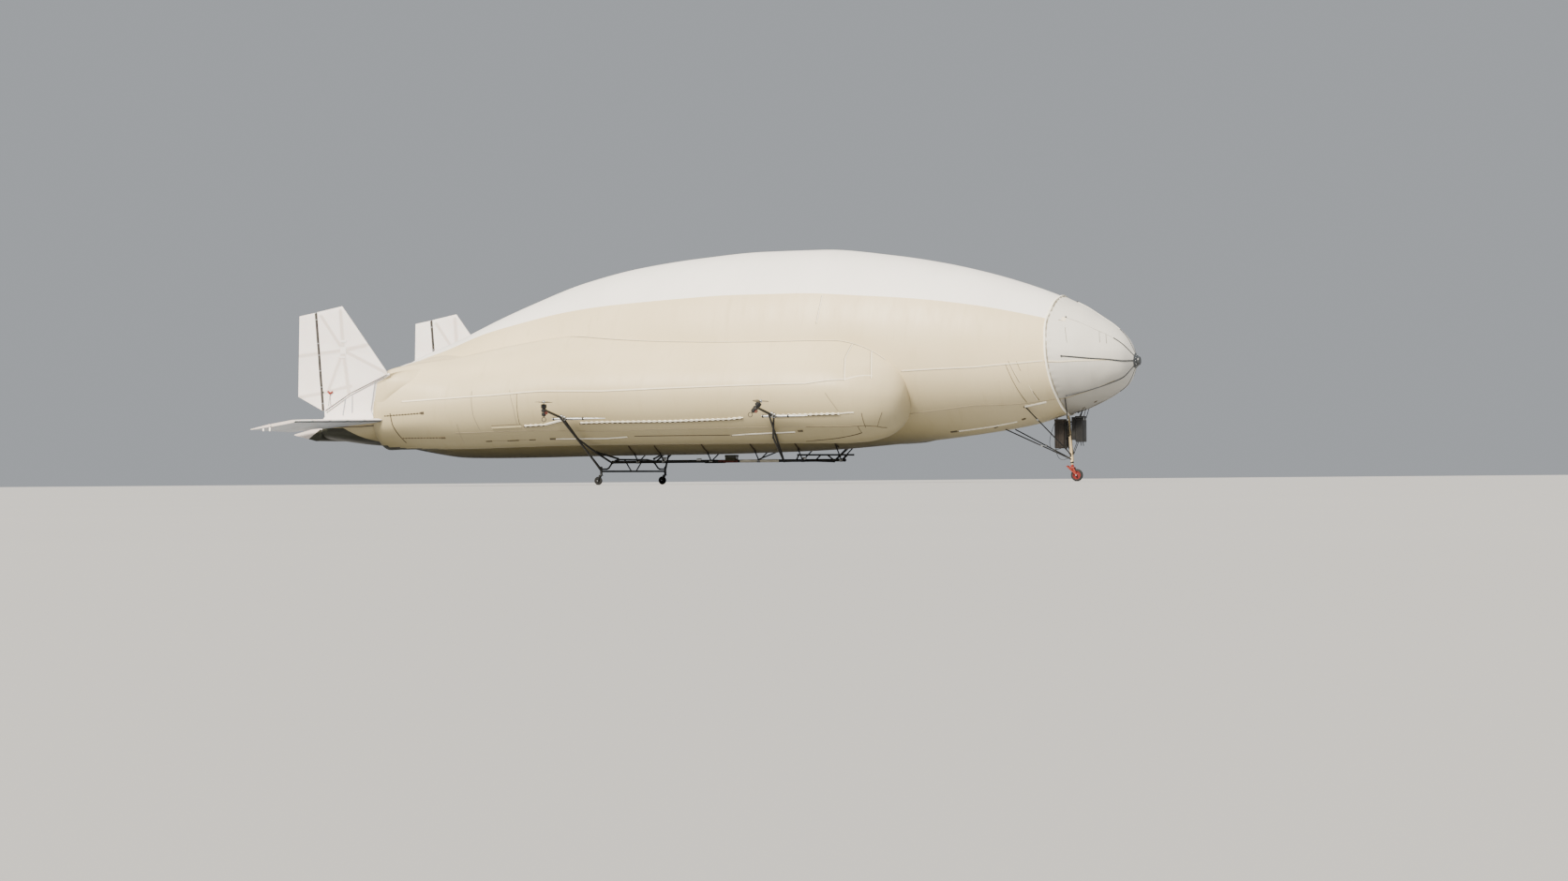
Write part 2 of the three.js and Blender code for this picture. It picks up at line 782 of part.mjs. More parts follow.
// Equipment boxes ahead of the nose leg and behind it:
// [name, front station, back station, half width, low z, high z]
const BOXES = [
  ["equipment_box_front", 1165, 1325, 150, 820, 1360],
  ["equipment_box_rear", 1570, 1780, 130, 690, 1300],
];

// Nose leg, leaning back a little, with bars that carry the boxes
const LEG_LOW_Z = 357;
const LEG_TOP_Z = 1460;
const LEG_LEAN = 90;
const legStation = (z) =>
  NOSE_SWIVEL_STATION + (LEG_LEAN * (z - LEG_LOW_Z)) / (LEG_TOP_Z - LEG_LOW_Z);
const legRows = [
  [P(legStation(LEG_LOW_Z), 0, LEG_LOW_Z), P(legStation(LEG_TOP_Z), 0, LEG_TOP_Z), 28],
];
const BOX_BARS_Z = [880, 1240];
BOX_BARS_Z.forEach((z) => {
  const [[, , frontBack], [, rearFront]] = BOXES;
  legRows.push([P(frontBack + GAP, 0, z), P(rearFront - GAP, 0, z), BRACE]);
});
// Struts that brace the leg: [name, height on the leg, far station, y and z]
const NOSE_STRUTS = SIDES.flatMap((side) => [
  ["rear_" + side.name, 460, 2790, side.y * 330, 1100],
  ["side_" + side.name, 560, 2170, side.y * 940, 1570],
  ["brace_" + side.name, 950, 1335, side.y * 790, 1715],
]);
add(
  "nose_leg",
  largest(
    frame(legRows)
      .subtract(skinClear)
      .subtract(rod(P(NOSE_SWIVEL_STATION, 0, 340), P(NOSE_SWIVEL_STATION, 0, 412), STEM_BORE, 12)),
  ),
);
const legClear = frame(legRows, GAP);
const strutRows = NOSE_STRUTS.map(([, height, station, y, z]) => [
  P(legStation(height), Math.sign(y) * 22, height),
  P(station, y, z),
  BRACE,
]);
NOSE_STRUTS.forEach(([name], i) => {
  add("nose_strut_" + name, largest(frame([strutRows[i]]).subtract(legClear).subtract(skinClear)));
});
const noseClear = frame([...legRows, ...strutRows], GAP);

BOXES.forEach(([name, station0, station1, half, z0, z1]) => {
  add(name, box(station0, station1, -half, half, z0, z1).subtract(noseClear).subtract(skinClear));
});

// Olive box that sits astride the keel beam
add("keel_box", box(8960, 9200, -90, 90, KEEL_Z + 8, 624).subtract(keelClear).subtract(skinClear));

export default airship;
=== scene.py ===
"""Looks of the three-lobed airship: fabric skins, film tail surfaces, tube frames, engines and casters.

Metres, +X to the nose, +Y to port, +Z up. Stations are distances aft of the nose tip.
"""

import math

import bmesh
import bpy
from mathutils import Matrix, Vector, noise


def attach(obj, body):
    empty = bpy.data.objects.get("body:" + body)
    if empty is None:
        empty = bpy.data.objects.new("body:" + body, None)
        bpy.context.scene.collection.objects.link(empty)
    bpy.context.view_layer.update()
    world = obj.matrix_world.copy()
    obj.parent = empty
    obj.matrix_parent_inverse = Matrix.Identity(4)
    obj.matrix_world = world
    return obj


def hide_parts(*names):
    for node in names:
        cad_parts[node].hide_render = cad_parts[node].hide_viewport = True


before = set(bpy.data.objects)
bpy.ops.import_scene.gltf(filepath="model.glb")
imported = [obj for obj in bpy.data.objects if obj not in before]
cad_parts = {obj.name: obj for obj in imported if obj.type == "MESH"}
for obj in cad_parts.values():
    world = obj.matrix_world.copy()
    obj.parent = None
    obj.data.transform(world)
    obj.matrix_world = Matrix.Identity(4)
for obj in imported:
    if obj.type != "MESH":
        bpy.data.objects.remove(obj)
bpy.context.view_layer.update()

NOSE_X = 9.035
SIDES = (("port", 1), ("starboard", -1))


def at(station, y, z):
    """The point at a station aft of the nose tip."""
    return Vector((NOSE_X - station, y, z))


# Camera: about 100 m off the starboard bow quarter, close to the ground, with a long lens
CAMERA_AT = Vector((37.151, -93.295, 0.06))
CAMERA_HEADING = 21.1
CAMERA_ROLL = 0.45
LENS_MM = 107.6
SENSOR_MM = 36
HORIZON_SHIFT = 0.0257
VIEW_END = 1000


def make_camera():
    """The camera that looks from the photo's side, level but for a slight roll."""
    data = bpy.data.cameras.new("long_lens")
    data.lens = LENS_MM
    data.sensor_width = SENSOR_MM
    data.shift_y = HORIZON_SHIFT
    data.clip_end = VIEW_END
    camera = bpy.data.objects.new("long_lens", data)
    bpy.context.scene.collection.objects.link(camera)
    heading = Matrix.Rotation(math.radians(CAMERA_HEADING), 4, "Z")
    level = Matrix.Rotation(math.radians(90), 4, "X")
    roll = Matrix.Rotation(math.radians(-CAMERA_ROLL), 4, "Z")
    camera.matrix_world = Matrix.Translation(CAMERA_AT) @ heading @ level @ roll
    bpy.context.scene.camera = camera


# Colour and shader helpers


def linear(hex_colour):
    """An sRGB hex colour as linear RGBA."""
    parts = [int(hex_colour[i : i + 2], 16) / 255 for i in (0, 2, 4)]
    made = [c / 12.92 if c <= 0.04045 else ((c + 0.055) / 1.055) ** 2.4 for c in parts]
    return (*made, 1.0)


def link_up(tree, made, links):
    """Feeds a node's inputs from other nodes' outputs."""
    for key, output in links.items():
        tree.links.new(output, made.inputs[key])


def add_node(tree, kind, values=None, links=None, **settings):
    """One shader node with its settings, its input values, and links from other nodes' outputs."""
    made = tree.nodes.new(kind)
    for key, value in settings.items():
        setattr(made, key, value)
    for key, value in (values or {}).items():
        made.inputs[key].default_value = value
    link_up(tree, made, links or {})
    return made


def start_material(name, values):
    """A material with one main shader, and its tree, shader and object coordinates."""
    material = bpy.data.materials.new(name)
    material.use_nodes = True
    tree = material.node_tree
    tree.nodes.clear()
    shader = add_node(tree, "ShaderNodeBsdfPrincipled", values)
    add_node(tree, "ShaderNodeOutputMaterial", links={"Surface": shader.outputs["BSDF"]})
    place = add_node(tree, "ShaderNodeTexCoord").outputs["Object"]
    return material, tree, shader, place


def per_metre(millimetres):
    """How many features of this size lie on a metre, which is a noise pattern's scale."""
    return 1000 / millimetres


# Materials

# Sizes of the patterns in millimetres. A real ripstop grid is 5 mm, orange peel 1 mm and the grain of
# moulded plastic 0.5 mm: each is drawn coarser, so that it shows.
DRIFT_MM = 1820
STREAK_MM = 625
PUFF_MM = 385
RIPSTOP_MM = 40
CLOUD_MM = 556
RUB_MM = 111
PEEL_MM = 4.2
DRAW_MM = 167
DUST_MM = 154
GRAIN_MM = 2.4
FLOOR_MM = 2500
# The wave pattern runs 20 radians a metre at scale 1
RIPSTOP_SCALE = 2 * math.pi / 20 * per_metre(RIPSTOP_MM)
# Rain streaks and slack puffs are drawn out upright: 200 mm wide and 1250 mm tall for the streaks
UPRIGHT = (3.2, 0.9, 0.5)
# The draw leaves its marks along X, as the rail tubes lie
ALONG_TUBE = (2.0, 60.0, 60.0)


def fabric(name, base, aged, grime, rough=0.46, belly=None):
    """Coated ripstop airship fabric, welded in wide gores: a soft satin gloss, tones that drift over
    metres, faint rain streaks, painted belly shade between two heights, slack puffs and a ripstop grid."""
    satin = {"Roughness": rough, "IOR": 1.47, "Sheen Weight": 0.12, "Sheen Roughness": 0.4}
    material, tree, shader, place = start_material(name, satin)
    wide = {"Scale": per_metre(DRIFT_MM), "Detail": 3.0, "Roughness": 0.5}
    drift = add_node(tree, "ShaderNodeTexNoise", wide, {"Vector": place}).outputs["Fac"]
    soft = add_node(tree, "ShaderNodeMapRange", {1: 0.38, 2: 0.66}, {0: drift}).outputs[0]
    tones = {6: linear(base), 7: linear(aged)}
    tone = add_node(tree, "ShaderNodeMix", tones, {0: soft}, data_type="RGBA").outputs[2]
    tall = add_node(tree, "ShaderNodeMapping", {"Scale": UPRIGHT}, {"Vector": place}).outputs["Vector"]
    fine = {"Scale": per_metre(STREAK_MM), "Detail": 5.0, "Roughness": 0.6}
    streak = add_node(tree, "ShaderNodeTexNoise", fine, {"Vector": tall}).outputs["Fac"]
    stain = add_node(tree, "ShaderNodeMapRange", {1: 0.56, 2: 0.80, 4: 0.45}, {0: streak}).outputs[0]
    dirt = add_node(tree, "ShaderNodeMix", {7: linear(grime)}, {0: stain, 6: tone}, data_type="RGBA")
    colour = dirt.outputs[2]
    # Painted shade: the colour turns towards the belly tone from the high height down to the low one
    if belly:
        belly_shade, high, low = belly
        height = add_node(tree, "ShaderNodeSeparateXYZ", links={"Vector": place}).outputs["Z"]
        share = add_node(tree, "ShaderNodeMapRange", {1: high, 2: low, 4: 0.85}, {0: height}).outputs[0]
        shade = {7: linear(belly_shade)}
        colour = add_node(tree, "ShaderNodeMix", shade, {0: share, 6: colour}, data_type="RGBA").outputs[2]
    shine = {1: 0.3, 2: 0.7, 3: rough - 0.05, 4: rough + 0.08}
    gloss = add_node(tree, "ShaderNodeMapRange", shine, {0: streak}).outputs[0]
    threads = {}
    for i, way in enumerate("XZ"):
        bands = {"wave_type": "BANDS", "bands_direction": way}
        thread = add_node(tree, "ShaderNodeTexWave", {"Scale": RIPSTOP_SCALE}, {"Vector": place}, **bands)
        threads[i] = thread.outputs["Fac"]
    grid = add_node(tree, "ShaderNodeMath", links=threads, operation="MAXIMUM").outputs[0]
    weave = add_node(tree, "ShaderNodeBump", {"Strength": 0.05, "Distance": 0.002}, {"Height": grid})
    loose = {"Scale": per_metre(PUFF_MM), "Detail": 2.0}
    puff = add_node(tree, "ShaderNodeTexNoise", loose, {"Vector": tall}).outputs["Fac"]
    both = {"Height": puff, "Normal": weave.outputs["Normal"]}
    bump = add_node(tree, "ShaderNodeBump", {"Strength": 0.30, "Distance": 0.012}, both)
    link_up(tree, shader, {"Base Color": colour, "Roughness": gloss, "Normal": bump.outputs["Normal"]})
    return material


def film(name, base, shade, low_shade):
    """Heat-shrunk white film over a light frame: satin, a little see-through, with a painted shadow of
    the frame as a faint darker band where the piece's rib_shadow attribute is high."""
    satin = {"Roughness": 0.42, "IOR": 1.5, "Subsurface Weight": 0.06, "Subsurface Scale": 0.03}
    material, tree, shader, place = start_material(name, satin)
    shadow = add_node(tree, "ShaderNodeAttribute", attribute_name="rib_shadow").outputs["Fac"]
    cloud = {"Scale": per_metre(CLOUD_MM), "Detail": 4.0}
    drift = add_node(tree, "ShaderNodeTexNoise", cloud, {"Vector": place}).outputs["Fac"]
    share = add_node(tree, "ShaderNodeMapRange", {1: 0.35, 2: 0.7}, {0: drift}).outputs[0]
    tones = {6: linear(base), 7: linear(low_shade)}
    cloudy = add_node(tree, "ShaderNodeMix", tones, {0: share}, data_type="RGBA").outputs[2]
    ribs = add_node(tree, "ShaderNodeMix", {7: linear(shade)}, {0: shadow, 6: cloudy}, data_type="RGBA")
    taut = add_node(tree, "ShaderNodeBump", {"Strength": 0.16, "Distance": 0.006}, {"Height": drift})
    link_up(tree, shader, {"Base Color": ribs.outputs[2], "Normal": taut.outputs["Normal"]})
    return material


def mottled(name, values, spots, mixed, tones, gloss, bump, grain=None, stretch=None):
    """A material whose two tones and gloss follow one noise pattern, with a bump from it or a grain."""
    material, tree, shader, place = start_material(name, values)
    if stretch:
        place = add_node(tree, "ShaderNodeMapping", {"Scale": stretch}, {"Vector": place}).outputs["Vector"]
    pattern = add_node(tree, "ShaderNodeTexNoise", spots, {"Vector": place}).outputs["Fac"]
    share = add_node(tree, "ShaderNodeMapRange", {1: mixed[0], 2: mixed[1]}, {0: pattern}).outputs[0]
    pair = {6: linear(tones[0]), 7: linear(tones[1])}
    colour = add_node(tree, "ShaderNodeMix", pair, {0: share}, data_type="RGBA").outputs[2]
    shine = {1: 0.3, 2: 0.7, 3: gloss[0], 4: gloss[1]}
    rough = add_node(tree, "ShaderNodeMapRange", shine, {0: pattern}).outputs[0]
    height = pattern
    if grain:
        kind, size, output = grain
        height = add_node(tree, kind, size, {"Vector": place}).outputs[output]
    relief = {"Strength": bump[0], "Distance": bump[1]}
    normal = add_node(tree, "ShaderNodeBump", relief, {"Height": height}).outputs["Normal"]
    link_up(tree, shader, {"Base Color": colour, "Roughness": rough, "Normal": normal})
    return material


def painted_tube(name, colour, worn, rough=0.42):
    """Powder-coated tube: even satin paint with fine orange peel, rubbed a little lighter in places."""
    return mottled(
        name,
        {"IOR": 1.5},
        spots={"Scale": per_metre(RUB_MM), "Detail": 6.0, "Roughness": 0.65},
        mixed=(0.52, 0.74),
        tones=(colour, worn),
        gloss=(rough - 0.06, rough + 0.12),
        bump=(0.08, 0.0006),
        grain=["ShaderNodeTexNoise", {"Scale": per_metre(PEEL_MM), "Detail": 1.0}, "Fac"],
    )


def bare_tube(name, colour, dull):
    """Drawn aluminium tube: dull metal with fine marks along the draw and a patchy oxide."""
    return mottled(
        name,
        {"Metallic": 1.0},
        spots={"Scale": per_metre(DRAW_MM), "Detail": 4.0},
        mixed=(0.35, 0.7),
        tones=(colour, dull),
        gloss=(0.30, 0.48),
        bump=(0.1, 0.0008),
        stretch=ALONG_TUBE,
    )


def moulded(name, colour, dusty, rough=0.55):
    """Moulded plastic or rubber: fine grain, with light dust in the hollows."""
    return mottled(
        name,
        {"IOR": 1.5},
        spots={"Scale": per_metre(DUST_MM), "Detail": 5.0, "Roughness": 0.6},
        mixed=(0.48, 0.76),
        tones=(colour, dusty),
        gloss=(rough - 0.05, rough + 0.15),
        bump=(0.12, 0.0008),
        grain=["ShaderNodeTexVoronoi", {"Scale": per_metre(GRAIN_MM)}, "Distance"],
    )


WHITE_FABRIC = fabric("white_airship_fabric", "F6F4F0", "F0EEEA", "E2E0DA")
# The belly tones below are painted shade: olive under the cream hull, which also paints the green ground's
# reflection, and grey under the nose cover
CREAM_FABRIC = fabric("cream_airship_fabric", "E0D1AC", "D9C9A2", "C6B58E", belly=("766F4F", 2.45, 0.85))
NOSE_FABRIC = fabric("nose_cover_fabric", "DBD9D2", "D3D1C9", "C1BFB6", 0.42, ("4A473C", 2.75, 1.30))
SEAM_FABRIC = fabric("seam_tape_fabric", "EDE4CC", "E6DCC2", "D8CDB1", rough=0.5)
POCKET_FABRIC = moulded("pocket_tape", "CFC39C", "BDB18A", rough=0.7)
# Painted shade for the creases of folds and the thin shade lines beside light tapes and the nose cover's hem
FOLD_SHADE_MATERIAL = moulded("fold_painted_shade", "978D75", "877E68", rough=0.6)
# Painted shade: the shaded underside of the tail end and of the centre elevator, dark olive as it lies in
# the stabilizer's shadow over dark ground
SHADE_FABRIC = fabric("tail_underside_painted_shade", "2C2E20", "25271B", "1D1F17", rough=0.6)
FIN_FILM = film("fin_film_white", "F3EFEE", "D6CDC8", "EDE7E5")
# Painted shade: the white film seen from below, darkened and tinted blue as painted sky light; the fins also
# use it for grey lines
SHADED_UNDER_FILM = film("stabilizer_underside_painted_shade", "AEB4BC", "868D96", "A2A8B1")
BLACK_TUBE = painted_tube("black_frame_paint", "0D0E0F", "1C1D1E")
GREY_CAP = painted_tube("mooring_cap_paint", "34383C", "43474B", rough=0.38)
SILVER_TUBE = bare_tube("bare_aluminium_tube", "B8BBBE", "96999C")
POD_PLASTIC = moulded("motor_pod_plastic", "1B1C1E", "35332F")
BLADE_CARBON = moulded("propeller_carbon", "141516", "232220", rough=0.34)
TAN_PAINT = painted_tube("tan_leg_paint", "C8B48C", "B09A72")
RED_PAINT = painted_tube("red_caster_paint", "7C2010", "822614")
DULL_RED = moulded("dull_red_plastic", "6E332B", "5A3029", rough=0.5)
RED_HUB = moulded("red_wheel_hub", "6C1612", "742720", rough=0.4)
TYRE_RUBBER = moulded("black_tyre_rubber", "1A1A1B", "3A3630", rough=0.8)
CHARCOAL_BOX = moulded("charcoal_case_plastic", "141517", "2B2A27")
BROWN_BOX = moulded("brown_case_plastic", "241D18", "3A3029")
OLIVE_BOX = moulded("olive_case_plastic", "34331F", "454429")
WHITE_ROPE = moulded("white_lacing_rope", "EFEBDD", "CFC8B4", rough=0.8)
# Dark lacing and straps, and also painted shade: the lines under ropes and in the crease under each lobe
DARK_ROPE_AND_SHADE = moulded("dark_lacing_and_painted_shade", "4A4234", "6A5F4A", rough=0.85)
# Painted shade for the gap at the rudder's hinge and the shadow lines at the fin's root and under the
# stabilizer; also a dark frame stud
DARK_PARTS_AND_GAP_SHADE = moulded("dark_parts_and_gap_painted_shade", "3A3836", "54504B", rough=0.8)
WIRE_BLACK = moulded("black_wire_sheath", "1C1C1D", "2F2D2B", rough=0.5)


# Mesh helpers


def faces_of(verts):
    """All the faces that meet these corners."""
    return {face for vert in verts for face in vert.link_faces}


def paint_faces(verts, material):
    """Gives all the faces of a shape one material."""
    for face in faces_of(verts):
        face.material_index = material


def patch(bm, columns, rows, spot, paint=None):
    """A grid of panels with each corner laid where spot(u, v) says; paint(u, v) picks the material."""
    made = bmesh.ops.create_grid(bm, x_segments=columns, y_segments=rows, size=0.5)["verts"]
    if paint:
        for face in faces_of(made):
            middle = face.calc_center_median()
            face.material_index = paint(middle.x + 0.5, middle.y + 0.5)
    for vert in made:
        vert.co = spot(vert.co.x + 0.5, vert.co.y + 0.5)
    return made


def open_edges(bm):
    """The edges that have only one face."""
    return [edge for edge in bm.edges if edge.is_boundary]


def close_ends(bm):
    """Fills every open rim."""
    bmesh.ops.holes_fill(bm, edges=open_edges(bm), sides=0)


def join_rims(bm):
    """Bridges the open rims of two facing sheets."""
    bmesh.ops.bridge_loops(bm, edges=open_edges(bm))


def close_skin(bm):
    """Welds the meeting edges of a skin that goes all round, and fills its ends."""
    bmesh.ops.remove_doubles(bm, verts=bm.verts, dist=1e-4)
    close_ends(bm)


def tube(bm, start, end, radius, sides=14, material=0):
    """A closed round tube between two points."""
    along = end - start
    turn = along.to_track_quat("Z", "Y").to_matrix().to_4x4()
    made = bmesh.ops.create_cone(
        bm,
        cap_ends=True,
        segments=sides,
        radius1=radius,
        radius2=radius,
        depth=along.length,
        matrix=Matrix.Translation((start + end) / 2) @ turn,
    )["verts"]
    paint_faces(made, material)


def knob(bm, centre, radius, material=0):
    """A small ball, for a bolt head or a welded joint."""
    lay = Matrix.Translation(centre)
    made = bmesh.ops.create_icosphere(bm, subdivisions=2, radius=radius, matrix=lay)["verts"]
    paint_faces(made, material)


def block(bm, low, high, bevel=0.006, material=0, matrix=None):
    """A box with rounded edges between two corners."""
    centre = (Vector(low) + Vector(high)) / 2
    size = Vector(high) - Vector(low)
    lay = Matrix.Translation(centre) @ Matrix.Diagonal((size.x, size.y, size.z, 1.0))
    made = bmesh.ops.create_cube(bm, size=1.0, matrix=(matrix or Matrix()) @ lay)["verts"]
    paint_faces(made, material)
    bmesh.ops.bevel(
        bm,
        geom=list({edge for vert in made for edge in vert.link_edges}),
        offset=bevel,
        offset_type="OFFSET",
        affect="EDGES",
        segments=3,
        profile=0.5,
        material=-1,
        clamp_overlap=True,
    )


def walk(first):
    """All the vertices joined to one."""
    seen = {first}
    wait = [first]
    while wait:
        for edge in wait.pop().link_edges:
            for vert in edge.verts:
                if vert not in seen:
                    seen.add(vert)
                    wait.append(vert)
    return seen


def spin_round(bm, verts, edges, matrix, steps, material):
    """Spins an outline once round Z, and lays the shape where the matrix says."""
    bmesh.ops.spin(
        bm,
        geom=verts + edges,
        cent=(0, 0, 0),
        axis=(0, 0, 1),
        angle=2 * math.pi,
        steps=steps,
        use_merge=True,
    )
    made = list(walk(verts[0]))
    bmesh.ops.transform(bm, matrix=matrix, verts=made)
    paint_faces(made, material)


def turned(bm, outline, matrix, steps=32, material=0):
    """A shape turned round its own Z axis from an outline of (radius, height) points."""
    verts = [bmesh.ops.create_vert(bm, co=(radius, 0, height))["vert"][0] for radius, height in outline]
    edges = [bm.edges.new(pair) for pair in zip(verts, verts[1:])]
    spin_round(bm, verts, edges, matrix, steps, material)


def finish_piece(bm, name, body, materials, hides=(), sharp=None):
    """Welds the mesh, turns its faces out, and lets the piece ride on its body."""
    bmesh.ops.remove_doubles(bm, verts=bm.verts, dist=1e-5)
    bmesh.ops.dissolve_degenerate(bm, edges=bm.edges, dist=1e-6)
    bmesh.ops.recalc_face_normals(bm, faces=bm.faces)
    for face in bm.faces:
        face.smooth = True
    mesh = bpy.data.meshes.new(name)
    bm.to_mesh(mesh)
    bm.free()
    for material in materials:
        mesh.materials.append(material)
    if sharp is not None:
        mesh.set_sharp_from_angle(angle=math.radians(sharp))
    made = bpy.data.objects.new(name, mesh)
    bpy.context.scene.collection.objects.link(made)
    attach(made, body)
    if hides:
        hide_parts(*hides)
    return made


def bend(rows):
    """A smooth curve through rows of [station, value, ...]: returns the values at a station."""
    stations = [row[0] for row in rows]
    columns = list(zip(*rows))[1:]
    gaps = [b - a for a, b in zip(stations, stations[1:])]
    slopes = []
    for values in columns:
        rises = [(b - a) / gap for a, b, gap in zip(values, values[1:], gaps)]
        made = [rises[0]]
        for before, after, gap0, gap1 in zip(rises, rises[1:], gaps, gaps[1:]):
            if before * after <= 0:
                made.append(0.0)
                continue
            weight0 = 2 * gap1 + gap0
            weight1 = gap1 + 2 * gap0
            made.append((weight0 + weight1) / (weight0 / before + weight1 / after))
        made.append(rises[-1])
        slopes.append(made)

    def values_at(station):
        station = min(max(station, stations[0]), stations[-1])
        i = max(k for k in range(len(gaps)) if stations[k] <= station)
        gap = gaps[i]
        t = (station - stations[i]) / gap
        found = []
        for values, slope in zip(columns, slopes):
            found.append(
                values[i] * (2 * t**3 - 3 * t**2 + 1)
                + slope[i] * gap * (t**3 - 2 * t**2 + t)
                + values[i + 1] * (3 * t**2 - 2 * t**3)
                + slope[i + 1] * gap * (t**3 - t**2)
            )
        return found

    return values_at


def ease(t):
    """A soft step from 0 to 1 as t goes from 0 to 1."""
    t = min(max(t, 0.0), 1.0)
    return t * t * (3 - 2 * t)


def stretch_between(low, high, share):
    """The value at a share of the way from low to high."""
    return low + (high - low) * share


# Central hull: [station, top z, bottom z, half width]
HULL = [
    [0.000, 2.510, 2.470, 0.020],
    [0.060, 2.645, 2.335, 0.155],
    [0.210, 2.940, 2.030, 0.455],
    [0.440, 3.178, 1.850, 0.665],
    [0.760, 3.400, 1.675, 0.865],
    [1.109, 3.620, 1.525, 1.048],
    [1.620, 3.850, 1.370, 1.240],
    [2.256, 4.090, 1.190, 1.450],
    [3.166, 4.370, 1.040, 1.665],
    [4.224, 4.620, 0.910, 1.855],
    [5.300, 4.800, 0.810, 1.995],
    [6.884, 4.960, 0.700, 2.130],
    [8.200, 4.950, 0.660, 2.145],
    [9.600, 4.850, 0.636, 2.107],
    [10.980, 4.680, 0.630, 2.025],
    [12.370, 4.370, 0.620, 1.880],
    [13.450, 3.990, 0.605, 1.800],
    [14.300, 3.650, 0.600, 1.770],
    [15.200, 3.240, 0.610, 1.800],
    [16.150, 2.850, 0.740, 1.900],
    [16.900, 2.280, 0.915, 2.100],
    [17.380, 1.480, 1.010, 2.300],
]
# Side lobe: [station, centre y, centre z, radius]
LOBE = [
    [4.450, 1.720, 1.690, 0.040],
    [4.500, 1.730, 1.700, 0.360],
    [4.680, 1.745, 1.740, 0.650],
    [5.000, 1.770, 1.800, 0.875],
    [5.400, 1.800, 1.860, 1.010],
    [5.900, 1.840, 1.905, 1.075],
    [6.800, 1.858, 1.930, 1.090],
    [9.500, 1.862, 1.940, 1.092],
    [12.000, 1.862, 1.930, 1.085],
    [13.200, 1.890, 1.850, 1.030],
    [14.400, 1.960, 1.730, 0.935],
    [15.300, 2.020, 1.640, 0.840],
    [16.150, 2.100, 1.560, 0.750],
    [16.900, 2.300, 1.420, 0.500],
    [17.380, 2.550, 1.250, 0.180],
]
# The lobe is fuller where it tucks into the hull, flatter on its shoulder: [degrees from top, share]
LOBE_SHAPE = [
    [0, 1.14],
    [14, 1.0],
    [45, 0.87],
    [70, 0.95],
    [90, 1.0],
    [270, 1.0],
    [315, 1.05],
    [360, 1.14],
]
# Tail wedge: [station, crown z, shoulder z, chine z, belly z, half width, power of the lower corner]
WEDGE = [
    [13.800, 2.900, 1.900, 1.500, 1.000, 2.300, 1.00],
    [15.000, 2.950, 2.000, 1.450, 0.930, 2.740, 1.00],
    [15.900, 2.800, 2.050, 1.350, 0.880, 2.800, 1.00],
    [16.150, 2.700, 2.040, 1.300, 0.850, 2.830, 0.90],
    [16.800, 2.300, 1.880, 1.290, 0.905, 2.840, 0.50],
    [17.330, 1.640, 1.540, 1.290, 0.975, 2.840, 0.45],
    [17.420, 1.500, 1.430, 1.280, 0.985, 2.840, 0.45],
]
# Where white meets cream: [station, degrees from the top]
COLOUR_SEAM = [[0.0, 52.0], [1.6, 52.7], [6.4, 57.4], [10.1, 55.7], [12.5, 50.0], [13.6, 44.5]]
COLOUR_SEAM += [[14.8, 37.5], [16.2, 36.0]]
hull_at = bend(HULL)
lobe_at = bend(LOBE)
lobe_share = bend(LOBE_SHAPE)
wedge_at = bend(WEDGE)
seam_at = bend(COLOUR_SEAM)
COVER_END = 1.700
# How far the nose cover stands off the hull
COVER_RISE = 0.016
WEDGE_START = 13.800
TAIL_END = 17.420
# How wide the hollow between a lobe and the wedge is rounded
BLEND = 0.36
# The search for the wedge's surface: farthest distance from a lobe's middle, and how often it halves
LOBE_REACH = 1.6
HALVINGS = 14


def hull_point(station, degrees, rise=0.0):
    """A point on the central hull, degrees from the top towards port."""
    top, bottom, half = hull_at(station)
    angle = math.radians(degrees)
    centre = (top + bottom) / 2
    height = (top - bottom) / 2 + rise
    return at(station, (half + rise) * math.sin(angle), centre + height * math.cos(angle))


def lobe_point(side, station, degrees, rise=0.0):
    """A point on a side lobe, degrees from the top towards the outside."""
    y, z, radius = lobe_at(station)
    angle = math.radians(degrees)
    reach = radius * lobe_share(degrees % 360)[0]
    if station > WEDGE_START and 0 < degrees % 360 < 200:
        reach = blend_into_wedge(station, y, z, angle, reach)
    reach += rise
    return at(station, side * (y + reach * math.sin(angle)), z + reach * math.cos(angle))


def in_wedge(station, y, z):
    """Whether a point of a cross-section lies inside the tail wedge."""
    crown, shoulder, chine, belly, half, power = wedge_at(station)
    if z >= shoulder:
        return (y / half) ** 2 + ((z - shoulder) / (crown - shoulder)) ** 2 < 1
    if z > chine:
        return abs(y) < half
    if z <= belly:
        return False
    down = ((chine - z) / (chine - belly)) ** (1 / power)
    return abs(y) / half < (1 - down**2) ** (power / 2)


def blend_into_wedge(station, y, z, angle, reach):
    """Rounds the hollow where the lobe meets the wedge, so that the skin runs smoothly over both."""
    inside, outside = 0.0, LOBE_REACH
    for _ in range(HALVINGS):
        middle = (inside + outside) / 2
        if in_wedge(station, y + middle * math.sin(angle), z + middle * math.cos(angle)):
            inside = middle
        else:
            outside = middle
    wedge = inside - 0.005
    width = BLEND * ease((station - WEDGE_START) / 0.5)
    near = max(0.0, 1 - abs(reach - wedge) / max(width, 1e-6))
    return max(reach, wedge) + near * near * width / 4


def steps_along(stops):
    """Stations from a table of [start, end, count]."""
    made = []
    for start, end, count in stops:
        made += [start + (end - start) * i / count for i in range(count)]
    return made + [stops[-1][1]]


def row_of(made, v):
    """The station of the ring at v."""
    return made[round(v * (len(made) - 1))]


def middle_row(made, v):
    """The station halfway between the two rings beside v."""
    i = int(v * (len(made) - 1))
    return (made[i] + made[i + 1]) / 2


